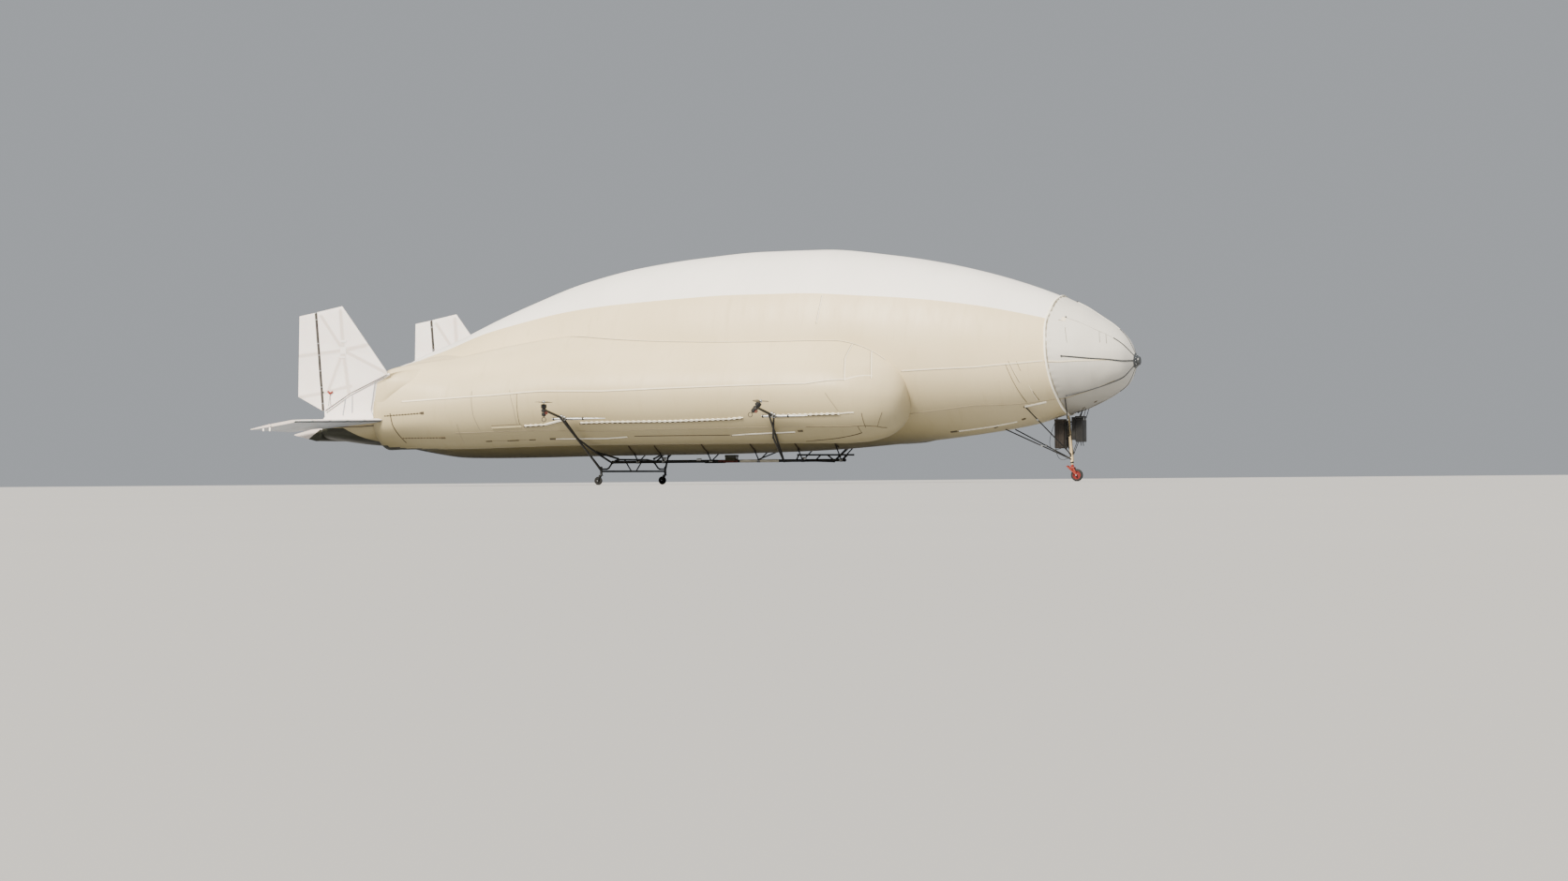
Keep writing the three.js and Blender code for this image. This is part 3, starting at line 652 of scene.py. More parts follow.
HULL_RINGS = steps_along(
    [[0.0, 0.06, 3], [0.06, 0.44, 6], [0.44, 2.0, 12], [2.0, 15.0, 64], [15.0, 17.3, 14]]
)
HULL_COLUMNS = 120
WHITE_COLUMNS = 19


def hull_degrees(u, station):
    """Evenly spaced columns, warped so that one column on each side lies on the colour seam."""
    turn = abs(u - 0.5) * 2
    way = 1 if u > 0.5 else -1
    split = 2 * WHITE_COLUMNS / HULL_COLUMNS
    seam = seam_at(station)[0]
    if turn <= split:
        return way * seam * turn / split
    return way * stretch_between(seam, 180.0, (turn - split) / (1 - split))


FABRICS = [WHITE_FABRIC, CREAM_FABRIC, SHADE_FABRIC]
# The painted shade under the tail end on hull and lobes: [station, height above the lowest line]
PAINTED_SHADE_UNDER = [[14.850, 0.0], [15.680, 0.030], [16.070, 0.080], [16.300, 0.190]]
painted_shade_under_at = bend(PAINTED_SHADE_UNDER)


def in_painted_shade_under(station, height):
    """Whether a point this high over the lowest line is in the strip of painted shade."""
    return station > PAINTED_SHADE_UNDER[0][0] and height < painted_shade_under_at(station)[0]


# How far the fabric bulges between its seams
GORE_PUFF = 0.010


def hull_skin():
    """The central hull: white over the top, cream on the sides, painted shade under the tail end."""

    def spot(u, v):
        station = row_of(HULL_RINGS, v)
        degrees = hull_degrees(u, station)
        seam = seam_at(station)[0]
        puff = GORE_PUFF * abs(math.sin(math.pi * min(abs(degrees) / seam, 1.0)))
        fade = ease(station / 2.0)
        return hull_point(station, degrees, puff * fade - 0.001)

    split = WHITE_COLUMNS / HULL_COLUMNS

    def paint(u, v):
        if abs(u - 0.5) < split:
            return 0
        station = middle_row(HULL_RINGS, v)
        here = hull_point(station, hull_degrees(u, station))
        return 2 if in_painted_shade_under(station, here.z - hull_at(station)[1]) else 1

    bm = bmesh.new()
    patch(bm, HULL_COLUMNS, len(HULL_RINGS) - 1, spot, paint)
    close_skin(bm)
    finish_piece(bm, "hull_skin", "hull", FABRICS, ["envelope"])


LOBE_RINGS = steps_along([[4.45, 4.5, 3], [4.5, 5.4, 14], [5.4, 13.2, 40], [13.2, 16.16, 26]])
LOBE_COLUMNS = 84


WRINKLE_DEPTH = 0.016


def lobe_wrinkle(station, degrees):
    """Shallow folds that run down the lobe near its round front end."""
    front = ease((6.3 - station) / 1.4) * ease((station - 4.52) / 0.25)
    low = ease((degrees - 70) / 30) * ease((175 - degrees) / 30)
    fold = noise.noise(Vector((station * 7.5 + degrees * 0.035, degrees * 0.006, 2.3)))
    return WRINKLE_DEPTH * front * low * fold


def lobe_skin(side_name, side):
    """A side lobe: cream, with wrinkles near its round front end, painted shade under the tail end."""

    def spot(u, v):
        station = row_of(LOBE_RINGS, v)
        degrees = 360 * (u % 1.0)
        return lobe_point(side, station, degrees, lobe_wrinkle(station, degrees))

    def paint(u, v):
        station = middle_row(LOBE_RINGS, v)
        height = lobe_point(side, station, 360 * u).z - lobe_point(side, station, 180).z
        return 1 if in_painted_shade_under(station, height) else 0

    bm = bmesh.new()
    patch(bm, LOBE_COLUMNS, len(LOBE_RINGS) - 1, spot, paint)
    close_skin(bm)
    fabrics = [CREAM_FABRIC, SHADE_FABRIC]
    hides = ["side_lobe_" + side_name]
    finish_piece(bm, "lobe_skin_" + side_name, "hull", fabrics, hides)


# Back edge of the nose cover: [degrees from the top, station]
COVER_EDGE = [[0, 1.620], [40, 1.640], [57, 1.670], [82, 1.635], [100, 1.600], [123, 1.535]]
COVER_EDGE += [[153, 1.475], [180, 1.490]]
cover_edge_at = bend(COVER_EDGE)
COVER_COLUMNS = 180


def cover_edge(degrees):
    """The station of the nose cover's back edge, degrees from the top."""
    return cover_edge_at(abs((degrees + 180) % 360 - 180))[0]


# The loose nose cover's puckers: depth, number and how far ahead of the hem they start; and its slack
PUCKER_DEPTH = 0.007
PUCKERS = 48
PUCKER_REACH = 0.22
COVER_SLACK = 0.014


def cover_rise(station, degrees):
    """How far the loose nose cover stands off the hull."""
    low = ease((degrees - 60) / 60) * ease((300 - degrees) / 60)
    gather = ease((station - cover_edge(degrees) + PUCKER_REACH) / PUCKER_REACH)
    pucker = PUCKER_DEPTH * gather * math.cos(math.radians(degrees) * PUCKERS)
    billow = noise.noise(Vector((station * 4.0, degrees * 0.035, 4.1))) * ease(station / 0.5)
    slack = COVER_SLACK * billow
    return COVER_RISE + pucker + slack * (0.35 + 0.65 * low)


def nose_cover_skin():
    """The nose cover: a loose cap over the hull, its back edge drawn in by a puckered hem."""
    rings = steps_along([[-0.002, 0.06, 4], [0.06, 0.44, 8], [0.44, 1.5, 26], [1.5, COVER_END, 8]])

    def spot(u, v):
        station = row_of(rings, v)
        degrees = 360 * (u % 1.0)
        shifted = station * cover_edge(degrees) / COVER_END
        rise = cover_rise(shifted, degrees)
        if station >= COVER_END - 1e-6:
            rise = 0.002
        return hull_point(shifted, degrees, rise)

    bm = bmesh.new()
    patch(bm, COVER_COLUMNS, len(rings) - 1, spot)
    close_skin(bm)
    finish_piece(bm, "nose_cover_skin", "hull", [NOSE_FABRIC], ["nose_cover"])


# The slanted line where cream ends and the white tail starts: two [station, z] points
TAIL_SEAM = [[16.130, 2.260], [16.270, 1.640]]
# The line under the stabilizer root where the painted shade of the underside starts, and the height it stops
# at
UNDER_SHADE_EDGE = [[16.100, 0.850], [16.900, 1.260]]
UNDER_SHADE_TOP = 1.270
STABILIZER_ROOT = 1.360
# The top seam on the wedge: two [station, distance from the middle] points
TOP_SEAM = [[15.450, 1.130], [16.130, 2.300]]
WEDGE_UPPER = 0.46
WEDGE_LOWER = 0.50
TAIL_COLUMNS = 150
TAIL_GORES = 9
TAIL_PUFF = 0.012


def on_line(line, value, column):
    """The other value of a straight line of two pairs, where the given column has this value."""
    a, b = line[0][column], line[1][column]
    share = (value - a) / (b - a)
    other = 1 - column
    return line[0][other] + (line[1][other] - line[0][other]) * share


def wedge_point(station, share, rise=0.0):
    """A point on the tail wedge: share 0 at the crown, 1 under the middle, minus to starboard."""
    crown, shoulder, chine, belly, half, power = wedge_at(station)
    side = math.copysign(1, share)
    share = abs(share)
    if share <= WEDGE_UPPER:
        angle = math.pi / 2 * share / WEDGE_UPPER
        y = (half + rise) * math.sin(angle)
        return at(station, side * y, shoulder + (crown - shoulder + rise) * math.cos(angle))
    if share < WEDGE_LOWER:
        down = (share - WEDGE_UPPER) / (WEDGE_LOWER - WEDGE_UPPER)
        return at(station, side * (half + rise), shoulder + (chine - shoulder) * down)
    angle = math.pi / 2 * min(1.0, (share - WEDGE_LOWER) / (1 - WEDGE_LOWER))
    y = (half + rise) * max(0.0, math.cos(angle)) ** power
    return at(station, side * y, chine - (chine - belly + rise) * math.sin(angle) ** power)


def wedge_paint(middle):
    """White on top and over the tail, painted shade underneath at the end, cream elsewhere."""
    station = NOSE_X - middle.x
    # Painted shade at the very end of the tail, below the stabilizer root
    if station > 17.2 and middle.z < STABILIZER_ROOT:
        return 2
    # Painted shade under the stabilizer, below the slanted edge and the top height
    if station > 16.1 and middle.z < min(on_line(UNDER_SHADE_EDGE, station, 0), UNDER_SHADE_TOP):
        return 2
    if middle.z > STABILIZER_ROOT and station > on_line(TAIL_SEAM, middle.z, 1):
        return 0
    if middle.z > 1.9 and abs(middle.y) < on_line(TOP_SEAM, station, 0):
        return 0
    return 1


def tail_skin():
    """The wide tail wedge, cut along its colour seams and the edges of its painted shade."""
    rings = steps_along([[WEDGE_START, 16.0, 20], [16.0, 17.33, 28], [17.33, TAIL_END, 4]])

    def spot(u, v):
        station = row_of(rings, v)
        puff = TAIL_PUFF * abs(math.sin(math.pi * TAIL_GORES * u)) * ease((17.2 - station) / 0.5)
        return wedge_point(station, 2 * u - 1, puff)

    bm = bmesh.new()
    patch(bm, TAIL_COLUMNS, len(rings) - 1, spot)
    close_skin(bm)
    level = [[[16.0, z], [17.0, z]] for z in (UNDER_SHADE_TOP, STABILIZER_ROOT)]
    cuts = []
    for (first, low), (last, high) in [TAIL_SEAM, UNDER_SHADE_EDGE, *level]:
        cuts.append([at(first, 0, low), at(last, 0, high), (0, 1, 0)])
    for way in (1, -1):
        (first, inner), (last, outer) = TOP_SEAM
        cuts.append([at(first, way * inner, 0), at(last, way * outer, 0), (0, 0, 1)])
    for start, end, along in cuts:
        bmesh.ops.bisect_plane(
            bm,
            geom=bm.verts[:] + bm.edges[:] + bm.faces[:],
            dist=1e-4,
            plane_co=start,
            plane_no=(end - start).cross(Vector(along)).normalized(),
        )
    for face in bm.faces:
        face.material_index = wedge_paint(face.calc_center_median())
    finish_piece(bm, "tail_skin", "hull", FABRICS, ["tail_section"], sharp=50)


# From each fin's front edge to the skin ahead of it: [fin station, fin z, skin station, skin share]
FAIRING = [
    [15.805, 2.405, 15.200, 0.290],
    [15.960, 2.330, 15.200, 0.330],
    [16.100, 2.250, 15.250, 0.375],
    [16.150, 1.950, 15.450, 0.430],
    [16.200, 1.640, 15.700, 0.480],
]
fairing_at = bend([[i / 4] + row for i, row in enumerate(FAIRING)])
FAIRING_BULGE = 0.05
FILLER_SINK = 0.30
FAIRING_GRID = (24, 24)


def fin_fairing(side_name, side):
    """Cream fabric drawn from the skin to the fin's front edge, over a filler sunk into the wedge."""
    bm = bmesh.new()

    def spot_on(sink):
        def spot(u, v):
            station, z, skin_station, share = fairing_at(v)
            out = at(station, side * FIN_Y, z)
            skin = wedge_point(skin_station, side * share, -0.012)
            arch = math.sin(math.pi * u)
            rise = -(0.010 + FILLER_SINK * arch) if sink else FAIRING_BULGE * arch
            lift = 0.6 if sink else 0.6 * (1 - v)
            return skin.lerp(out, u) + Vector((0, side * rise, rise * lift))

        return spot

    for sink in (0, 1):
        patch(bm, *FAIRING_GRID, spot_on(sink))
    join_rims(bm)
    finish_piece(bm, "fin_fairing_" + side_name, "hull", [CREAM_FABRIC], sharp=60)


# The slanted edge of the painted shade on the centre elevator's round ends: two [station, z] points
NOSE_EDGE = [[17.445, 1.270], [17.730, 1.060]]


def paint_nose_shade(made):
    """The centre elevator's round nose gets painted shade, like its underside."""
    bm = bmesh.new()
    bm.from_mesh(made.data)
    ends = [face for face in bm.faces if abs(face.normal.y) > 0.9]
    start, stop = (at(station, 0, z) for station, z in NOSE_EDGE)
    forward = (stop - start).cross(Vector((0, 1, 0))).normalized()
    if forward.x < 0:
        forward.negate()
    around = {edge for face in ends for edge in face.edges}
    corners = {vert for face in ends for vert in face.verts}
    bmesh.ops.bisect_plane(
        bm,
        geom=ends + list(around) + list(corners),
        dist=1e-5,
        plane_co=start,
        plane_no=forward,
    )
    for face in bm.faces:
        if (face.calc_center_median() - start).dot(forward) > 0:
            face.material_index = 1
    bm.to_mesh(made.data)
    bm.free()


# Tapes, ropes and pockets that lie on the skins


# How finely a plain strip follows its surface, and how wide a toothed one is between its teeth
STRIP_STEP = 0.10
TOOTH_NECK = 0.15


def band(bm, place, knots, half, thick, material, teeth=0.0):
    """A flat strip laid over a surface through knots; teeth gives the pitch of its toothed edge."""
    spacing = teeth / 4 if teeth else STRIP_STEP
    spots = []
    for start, end in zip(knots, knots[1:]):
        run = (place(*end, 0.0) - place(*start, 0.0)).length
        count = max(1, round(run / spacing))
        for i in range(count):
            spots.append([stretch_between(a, b, i / count) for a, b in zip(start, end)])
    spots.append(list(knots[-1]))
    last = len(spots) - 1
    rows = []
    for i, here in enumerate(spots):
        foot = place(*here, 0.0)
        up = (place(*here, 0.01) - foot).normalized()
        run = place(*spots[min(i + 1, last)], 0.0) - place(*spots[max(i - 1, 0)], 0.0)
        rows.append((foot, up, run.cross(up).normalized()))
    corners = ((-1, -0.5), (-1, 1), (1, 1), (1, -0.5))

    def spot(u, v):
        i = round(v * last)
        foot, up, across = rows[i]
        side, height = corners[round(u * 4) % 4]
        wide = half * (TOOTH_NECK if teeth and i % 4 > 1 else 1.0)
        return foot + across * (side * wide) + up * (thick * height)

    made = patch(bm, 4, last, spot, lambda u, v: material)
    bmesh.ops.remove_doubles(bm, verts=made, dist=1e-6)


# Finishes of the strips, in the order of TRIM
# The fold finish paints shade in creases and beside light tapes; the dark finish paints shade lines under
# ropes and in the lobe crease, as well as dark lacing and straps
LIGHT, DARK, ROPE, POCKET, FOLD_SHADE = range(5)
TRIM = [SEAM_FABRIC, DARK_ROPE_AND_SHADE, WHITE_ROPE, POCKET_FABRIC, FOLD_SHADE_MATERIAL]
# Strips on each lobe: [finish, half width, thickness, tooth pitch, knots of (station, degrees from top)]
LOBE_BANDS = [
    [LIGHT, 0.013, 0.004, 0, [(4.98, 63), (5.08, 30), (5.14, 14)]],
    [LIGHT, 0.013, 0.004, 0, [(5.46, 75), (5.58, 39), (5.54, 14)]],
    [LIGHT, 0.014, 0.004, 0, [(15.5, 77), (13.4, 85), (10.87, 88), (6.26, 82), (5.46, 74), (4.97, 57)]],
    [FOLD_SHADE, 0.008, 0.004, 0, [(14.34, 130), (11.0, 138), (9.7, 135.5), (6.37, 133.5), (5.14, 132.5)]],
    [DARK, 0.006, 0.005, 0, [(6.37, 133.5), (5.14, 132.5), (4.91, 138), (4.76, 147)]],
    [DARK, 0.005, 0.005, 0, [(5.146, 114), (5.13, 136)]],
    [DARK, 0.005, 0.005, 0, [(5.28, 133), (5.25, 146)]],
    [DARK, 0.004, 0.005, 0, [(4.77, 114), (4.91, 138)]],
    [FOLD_SHADE, 0.007, 0.004, 0, [(5.84, 92), (5.70, 103), (5.60, 112)]],
    [FOLD_SHADE, 0.008, 0.004, 0, [(13.87, 76), (13.84, 107), (13.75, 130)]],
    [FOLD_SHADE, 0.006, 0.004, 0, [(12.97, 81), (12.88, 104), (12.87, 126)]],
    [DARK, 0.005, 0.004, 0, [(12.79, 85), (12.81, 125)]],
    [FOLD_SHADE, 0.006, 0.004, 0, [(14.25, 116.5), (14.25, 150)]],
    [DARK, 0.010, 0.006, 0, [(6.55, 164), (5.84, 155), (5.25, 146)]],
    [ROPE, 0.020, 0.018, 0.120, [(12.70, 126), (12.24, 126)]],
    [ROPE, 0.018, 0.018, 0, [(12.24, 126), (11.95, 122.4), (11.82, 121)]],
    [ROPE, 0.020, 0.018, 0.120, [(11.40, 124.6), (10.86, 124), (9.34, 124), (8.04, 122), (7.70, 120.3)]],
    [ROPE, 0.020, 0.016, 0.120, [(6.94, 118), (6.30, 117), (5.58, 115)]],
    [ROPE, 0.008, 0.008, 0, [(5.58, 115), (5.29, 113)]],
    [POCKET, 0.038, 0.008, 0, [(13.47, 125.2), (12.78, 126)]],
    [DARK, 0.004, 0.010, 0, [(13.47, 123.2), (12.78, 124)]],
    [DARK, 0.004, 0.010, 0, [(13.47, 127.2), (12.78, 128)]],
    [DARK, 0.012, 0.010, 0.070, [(15.90, 95), (15.00, 96.5)]],
    [DARK, 0.024, 0.012, 0, [(15.05, 96.4), (14.98, 96.5)]],
    [DARK, 0.011, 0.010, 0.070, [(15.60, 134), (14.67, 137)]],
    [DARK, 0.022, 0.012, 0, [(14.72, 136.9), (14.62, 137.1)]],
    [DARK, 0.010, 0.006, 0, [(15.77, 92), (15.73, 108), (15.58, 145)]],
    [ROPE, 0.015, 0.012, 0, [(12.14, 150), (10.97, 150.5), (10.47, 148)]],
    [DARK, 0.008, 0.006, 0, [(10.30, 147), (8.14, 147)]],
    [ROPE, 0.015, 0.012, 0, [(8.09, 147), (7.71, 145), (6.65, 141.5)]],
    [DARK, 0.022, 0.012, 0, [(6.58, 140.3), (6.47, 139.8)]],
    [DARK, 0.022, 0.012, 0, [(12.26, 150), (12.12, 150)]],
    [DARK, 0.012, 0.010, 0, [(13.74, 149), (13.60, 149)]],
    [DARK, 0.012, 0.010, 0, [(13.25, 150), (12.98, 150)]],
    [DARK, 0.012, 0.010, 0, [(12.74, 150.4), (12.60, 150.4)]],
    [FOLD_SHADE, 0.006, 0.005, 0, [(13.60, 149), (12.74, 150.4)]],
]
# Strips on each side of the hull, as above
HULL_BANDS = [
    [LIGHT, 0.013, 0.005, 0, [(4.54, 104), (3.03, 101.2), (2.39, 98.3), (1.66, 95.5)]],
    [FOLD_SHADE, 0.009, 0.005, 0, [(4.54, 135), (3.16, 132), (2.02, 136), (1.55, 138)]],
    [LIGHT, 0.013, 0.005, 0, [(4.60, 106), (4.97, 103), (5.20, 100)]],
    [DARK, 0.004, 0.006, 0, [(2.40, 98.6), (2.10, 134.5)]],
    [DARK, 0.003, 0.006, 0, [(2.34, 96), (2.16, 114)]],
    [LIGHT, 0.004, 0.008, 0, [(2.32, 96), (2.14, 114)]],
    [DARK, 0.003, 0.006, 0, [(2.18, 96), (2.11, 104)]],
    [LIGHT, 0.004, 0.008, 0, [(1.98, 118), (1.88, 134)]],
    [DARK, 0.003, 0.006, 0, [(1.93, 124), (1.85, 135)]],
    [ROPE, 0.020, 0.014, 0, [(2.163, 139), (1.726, 139)]],
    [ROPE, 0.016, 0.014, 0, [(3.72, 160), (2.98, 160), (2.46, 158.3)]],
    [DARK, 0.020, 0.016, 0, [(2.98, 163), (2.90, 161.6)]],
    [DARK, 0.018, 0.016, 0, [(2.34, 156.4), (2.26, 155.6)]],
    [DARK, 0.028, 0.012, 0, [(3.90, 160), (3.76, 160)]],
    [FOLD_SHADE, 0.009, 0.008, 0, [(11.1, 153), (7.9, 156), (6.4, 157)]],
]
# Strips on each side of the nose cover, as above
COVER_BANDS = [
    [LIGHT, 0.014, 0.004, 0, [(1.62, 95.6), (1.33, 95.7), (0.32, 90)]],
    [FOLD_SHADE, 0.010, 0.004, 0, [(1.52, 138), (1.35, 139), (1.11, 137), (0.36, 133.4)]],
    [LIGHT, 0.050, 0.005, 0, [(1.37, 48.5), (1.29, 48.5)]],
    [DARK, 0.004, 0.004, 0, [(1.27, 58), (1.20, 75)]],
    [DARK, 0.004, 0.004, 0, [(0.65, 45), (0.60, 64.5)]],
    [DARK, 0.004, 0.004, 0, [(0.53, 43), (0.48, 62.6)]],
    [DARK, 0.016, 0.008, 0, [(0.88, 166), (0.82, 165)]],
    [DARK, 0.014, 0.008, 0, [(1.14, 168), (1.08, 167)]],
]


def trim_piece(name, rows_of_bands):
    """One piece of strips from (place, rows) pairs."""
    bm = bmesh.new()
    for place, rows in rows_of_bands:
        for finish, half, thick, teeth, knots in rows:
            band(bm, place, knots, half, thick, finish, teeth)
    close_ends(bm)
    finish_piece(bm, name, "hull", TRIM, sharp=40)


def lobe_place(side):
    """Where a strip's point lies on a lobe; the next two say it for the hull and the nose cover."""

    def place(station, degrees, rise):
        return lobe_point(side, station, degrees, rise + lobe_wrinkle(station, degrees))

    return place


def hull_place(side):
    def place(station, degrees, rise):
        return hull_point(station, side * degrees, rise)

    return place


def cover_place(side):
    def place(station, degrees, rise):
        return hull_point(station, side * degrees, rise + cover_rise(station, side * degrees % 360))

    return place


def junction(side, station, inside, outside):
    """Where the lobe comes out of the hull: degrees from the lobe's top."""
    top, bottom, half = hull_at(station)
    for _ in range(24):
        middle = (inside + outside) / 2
        point = lobe_point(side, station, middle)
        high = (point.z - (top + bottom) / 2) / ((top - bottom) / 2)
        if (point.y / half) ** 2 + high**2 < 1:
            inside = middle
        else:
            outside = middle
    return outside


def with_shade(rows, radius):
    """The strips, and a thin shade line behind and below each light tape and rope."""
    shades = []
    for finish, half, thick, _, knots in rows:
        if finish in (LIGHT, ROPE) and half > 0.010:
            tone, wide = (FOLD_SHADE, 0.007) if finish == LIGHT else (DARK, 0.013)
            step = half + wide * 0.6
            turn = math.degrees(step / radius)
            shifted = [(station + step, degrees + turn) for station, degrees in knots]
            shades.append([tone, wide, thick * 0.7, 0, shifted])
    return rows + shades


# Rough radii of the lobe, the hull and the nose, for strips that lie beside others
LOBE_RADIUS = 1.09
HULL_RADIUS = 2.1
NOSE_RADIUS = 1.2
# Where the tape on top of each lobe and the painted shade line in the crease under it start, and how many
# steps each has
TAPE_START = 4.86
TAPE_STEPS = 42
EDGE_START = 6.55
EDGE_STEPS = 29
JUNCTION_STEP = 0.25


def strips():
    """All the tapes, ropes and pockets, with lines of painted shade in folds and creases and beside tapes
    and ropes.
    """
    for name, side in SIDES:
        tops = [TAPE_START + JUNCTION_STEP * i for i in range(TAPE_STEPS)]
        lows = [EDGE_START + JUNCTION_STEP * i for i in range(EDGE_STEPS)]
        tape = [[station, junction(side, station, -50, 60) + 1.0] for station in tops]
        edge = [[station, junction(side, station, 230, 120) - 0.6] for station in lows]
        rows = with_shade(LOBE_BANDS + [[LIGHT, 0.013, 0.008, 0, tape]], LOBE_RADIUS)
        rows.append([DARK, 0.006, 0.006, 0, edge])
        trim_piece("lobe_strips_" + name, [(lobe_place(side), rows)])
    upright = [(6.30, 58.5), (6.30, 64), (6.32, 70), (6.34, 76)]
    straps = [[DARK, 0.014, 0.014, 0, [(s + 0.05, 168), (s, 154)]] for s in HANGERS]
    rows = with_shade(HULL_BANDS + straps + [[LIGHT, 0.012, 0.005, 0, upright]], HULL_RADIUS)
    trim_piece("hull_strips", [(hull_place(side), rows) for _, side in SIDES])
    hem = [(cover_edge(degrees) - 0.012, degrees) for degrees in range(0, 181, 6)]
    shade = [(station - 0.034, degrees) for station, degrees in hem]
    rows = with_shade(COVER_BANDS, NOSE_RADIUS)
    rows += [[ROPE, 0.020, 0.018, 0, hem], [FOLD_SHADE, 0.006, 0.008, 0, shade]]
    trim_piece("cover_strips", [(cover_place(side), rows) for _, side in SIDES])


# Tail surfaces
FIN_Y = 2.883
FIN_HALF = 0.030
HINGE_LOW = (17.370, 1.605)
HINGE_TOP = (17.530, 3.755)


def hinge_station(z):
    """The station of the rudder's hinge line at a height."""
    share = (z - HINGE_LOW[1]) / (HINGE_TOP[1] - HINGE_LOW[1])
    return HINGE_LOW[0] + share * (HINGE_TOP[0] - HINGE_LOW[0])


# How far the fin's back edge stays ahead of the hinge line
BEHIND_FIN = 0.038
FIN_LEAD = [[16.050, 1.420], [16.200, 1.640], [16.100, 2.240], [15.810, 2.400], [16.900, 3.877]]
# Lowest and highest point of the fin's back edge and of the rudder's front edge
FIN_BACK = (1.340, 3.760)
RUDDER_LEAD = (1.640, 3.750)
RUDDER_TRAIL = [[17.960, 1.950], [17.915, 3.680]]
# Frame members that show through the film: [[station, z], [station, z], half width]
FIN_RIBS = [
    [[16.927, 3.775], [16.867, 2.929], 0.030],
    [[16.867, 2.929], [16.740, 2.000], 0.030],
    [[16.867, 2.929], [16.290, 3.040], 0.026],
    [[17.460, 2.870], [16.867, 2.929], 0.026],
    [[17.398, 3.684], [16.867, 2.929], 0.022],
    [[16.867, 2.929], [15.847, 2.431], 0.022],
    [[16.867, 2.929], [17.210, 2.110], 0.022],
    [[17.368, 2.021], [16.695, 2.163], 0.022],
]
RUDDER_RIBS = [
    [[17.480, 2.868], [17.900, 2.826], 0.026],
    [[17.400, 2.015], [17.920, 1.940], 0.022],
]


def chain(points, share):
    """The point at a share of the length of a chain of [station, z] points."""
    lengths = [math.dist(a, b) for a, b in zip(points, points[1:])]
    left = share * sum(lengths)
    for a, b, length in zip(points, points[1:], lengths):
        if left <= length or b is points[-1]:
            t = min(left / length, 1.0)
            return [a[0] + (b[0] - a[0]) * t, a[1] + (b[1] - a[1]) * t]
        left -= length


def near_line(station, z, a, b):
    """The distance of a point from a straight line between two points."""
    run = (b[0] - a[0], b[1] - a[1])
    length = run[0] ** 2 + run[1] ** 2
    t = min(max(((station - a[0]) * run[0] + (z - a[1]) * run[1]) / length, 0.0), 1.0)
    return math.dist((station, z), (a[0] + run[0] * t, a[1] + run[1] * t))


# How softly the shadow of a frame member ends
SHADOW_EDGE = 0.025


def shadow_layer(mesh, ribs):
    """Writes how dark the frame makes the film at each corner."""
    layer = mesh.attributes.new("rib_shadow", "FLOAT", "POINT")
    for i, vert in enumerate(mesh.vertices):
        station, z = NOSE_X - vert.co.x, vert.co.z
        dark = 0.0
        for a, b, half in ribs:
            dark = max(dark, 1 - ease((near_line(station, z, a, b) - half) / SHADOW_EDGE))
        layer.data[i].value = dark


FIN_GRID = (56, 84)
# How far from a frame member the film takes to sag fully
SAG_REACH = 0.22


def film_panel(name, body, side, lead, trail, half, ribs, hides, bulge):
    """An upright film panel between a leading chain and a trailing chain of [station, z] points."""
    bm = bmesh.new()

    def spot_on(way):
        def spot(u, v):
            front = chain(lead, v)
            back = chain(trail, v)
            station = stretch_between(front[0], back[0], u)
            z = stretch_between(front[1], back[1], u)
            rim = min(ease(u / 0.04), ease((1 - u) / 0.04), ease(v / 0.03), ease((1 - v) / 0.03))
            near = min((near_line(station, z, a, b) for a, b, _ in ribs), default=1.0)
            sag = bulge * ease(near / SAG_REACH) * rim
            y = half * (0.55 + 0.45 * rim) - sag
            return at(station, side * FIN_Y + way * y, z)

        return spot

    for way in (1, -1):
        patch(bm, *FIN_GRID, spot_on(way))
    join_rims(bm)
    made = finish_piece(bm, name, body, [FIN_FILM], hides, sharp=60)
    shadow_layer(made.data, ribs)


def fin_pieces(side_name, side):
    """One upright fin and its rudder."""
    back = [[hinge_station(z) - BEHIND_FIN, z] for z in FIN_BACK]
    fin, rudder = "fin_" + side_name, "rudder_" + side_name
    name = "fin_skin_" + side_name
    film_panel(name, "hull", side, FIN_LEAD, back, FIN_HALF, FIN_RIBS, [fin], 0.010)
    lead = [[hinge_station(z), z] for z in RUDDER_LEAD]
    name = "rudder_skin_" + side_name
    film_panel(name, rudder, side, lead, RUDDER_TRAIL, FIN_HALF - 0.004, RUDDER_RIBS, [rudder], 0.007)


# Flat strips and plates on each fin: [finish, half width, thickness, knots of (station, z)]
# Finish 0 is the painted shade line at the root, 1 the grey of the painted-shade underside film, 2 white
# film
FIN_BANDS = [
    [0, 0.006, 0.004, [(15.84, 2.392), (16.70, 2.012), (17.31, 1.640)]],
    [0, 0.004, 0.004, [(15.90, 2.330), (16.70, 1.965), (17.28, 1.600)]],
    [1, 0.010, 0.004, [(16.83, 1.882), (16.89, 1.541)]],
    [1, 0.010, 0.004, [(16.66, 1.970), (16.67, 1.593)]],
    [1, 0.008, 0.004, [(16.12, 2.250), (16.22, 1.640), (16.12, 1.440)]],
    [2, 0.075, 0.006, [(16.805, 2.930), (16.935, 2.930)]],
    [2, 0.024, 0.006, [(16.79, 3.12), (16.93, 3.13)]],
    [2, 0.020, 0.006, [(16.82, 2.78), (16.95, 2.79)]],
]
# Thin dark tubes that paint the shadow line along the wedge under the stabilizer: [station, z], and under
# the stabilizer's front edge
ROOT_SHADOW_LINE = [[15.950, 1.400], [16.200, 1.310], [16.500, 1.292], [17.300, 1.290]]
FRONT_SHADOW_LINE = [[15.985, 2.930, 1.393], [17.065, 4.840, 1.378]]
SHADOW_LINE_Y = 2.846
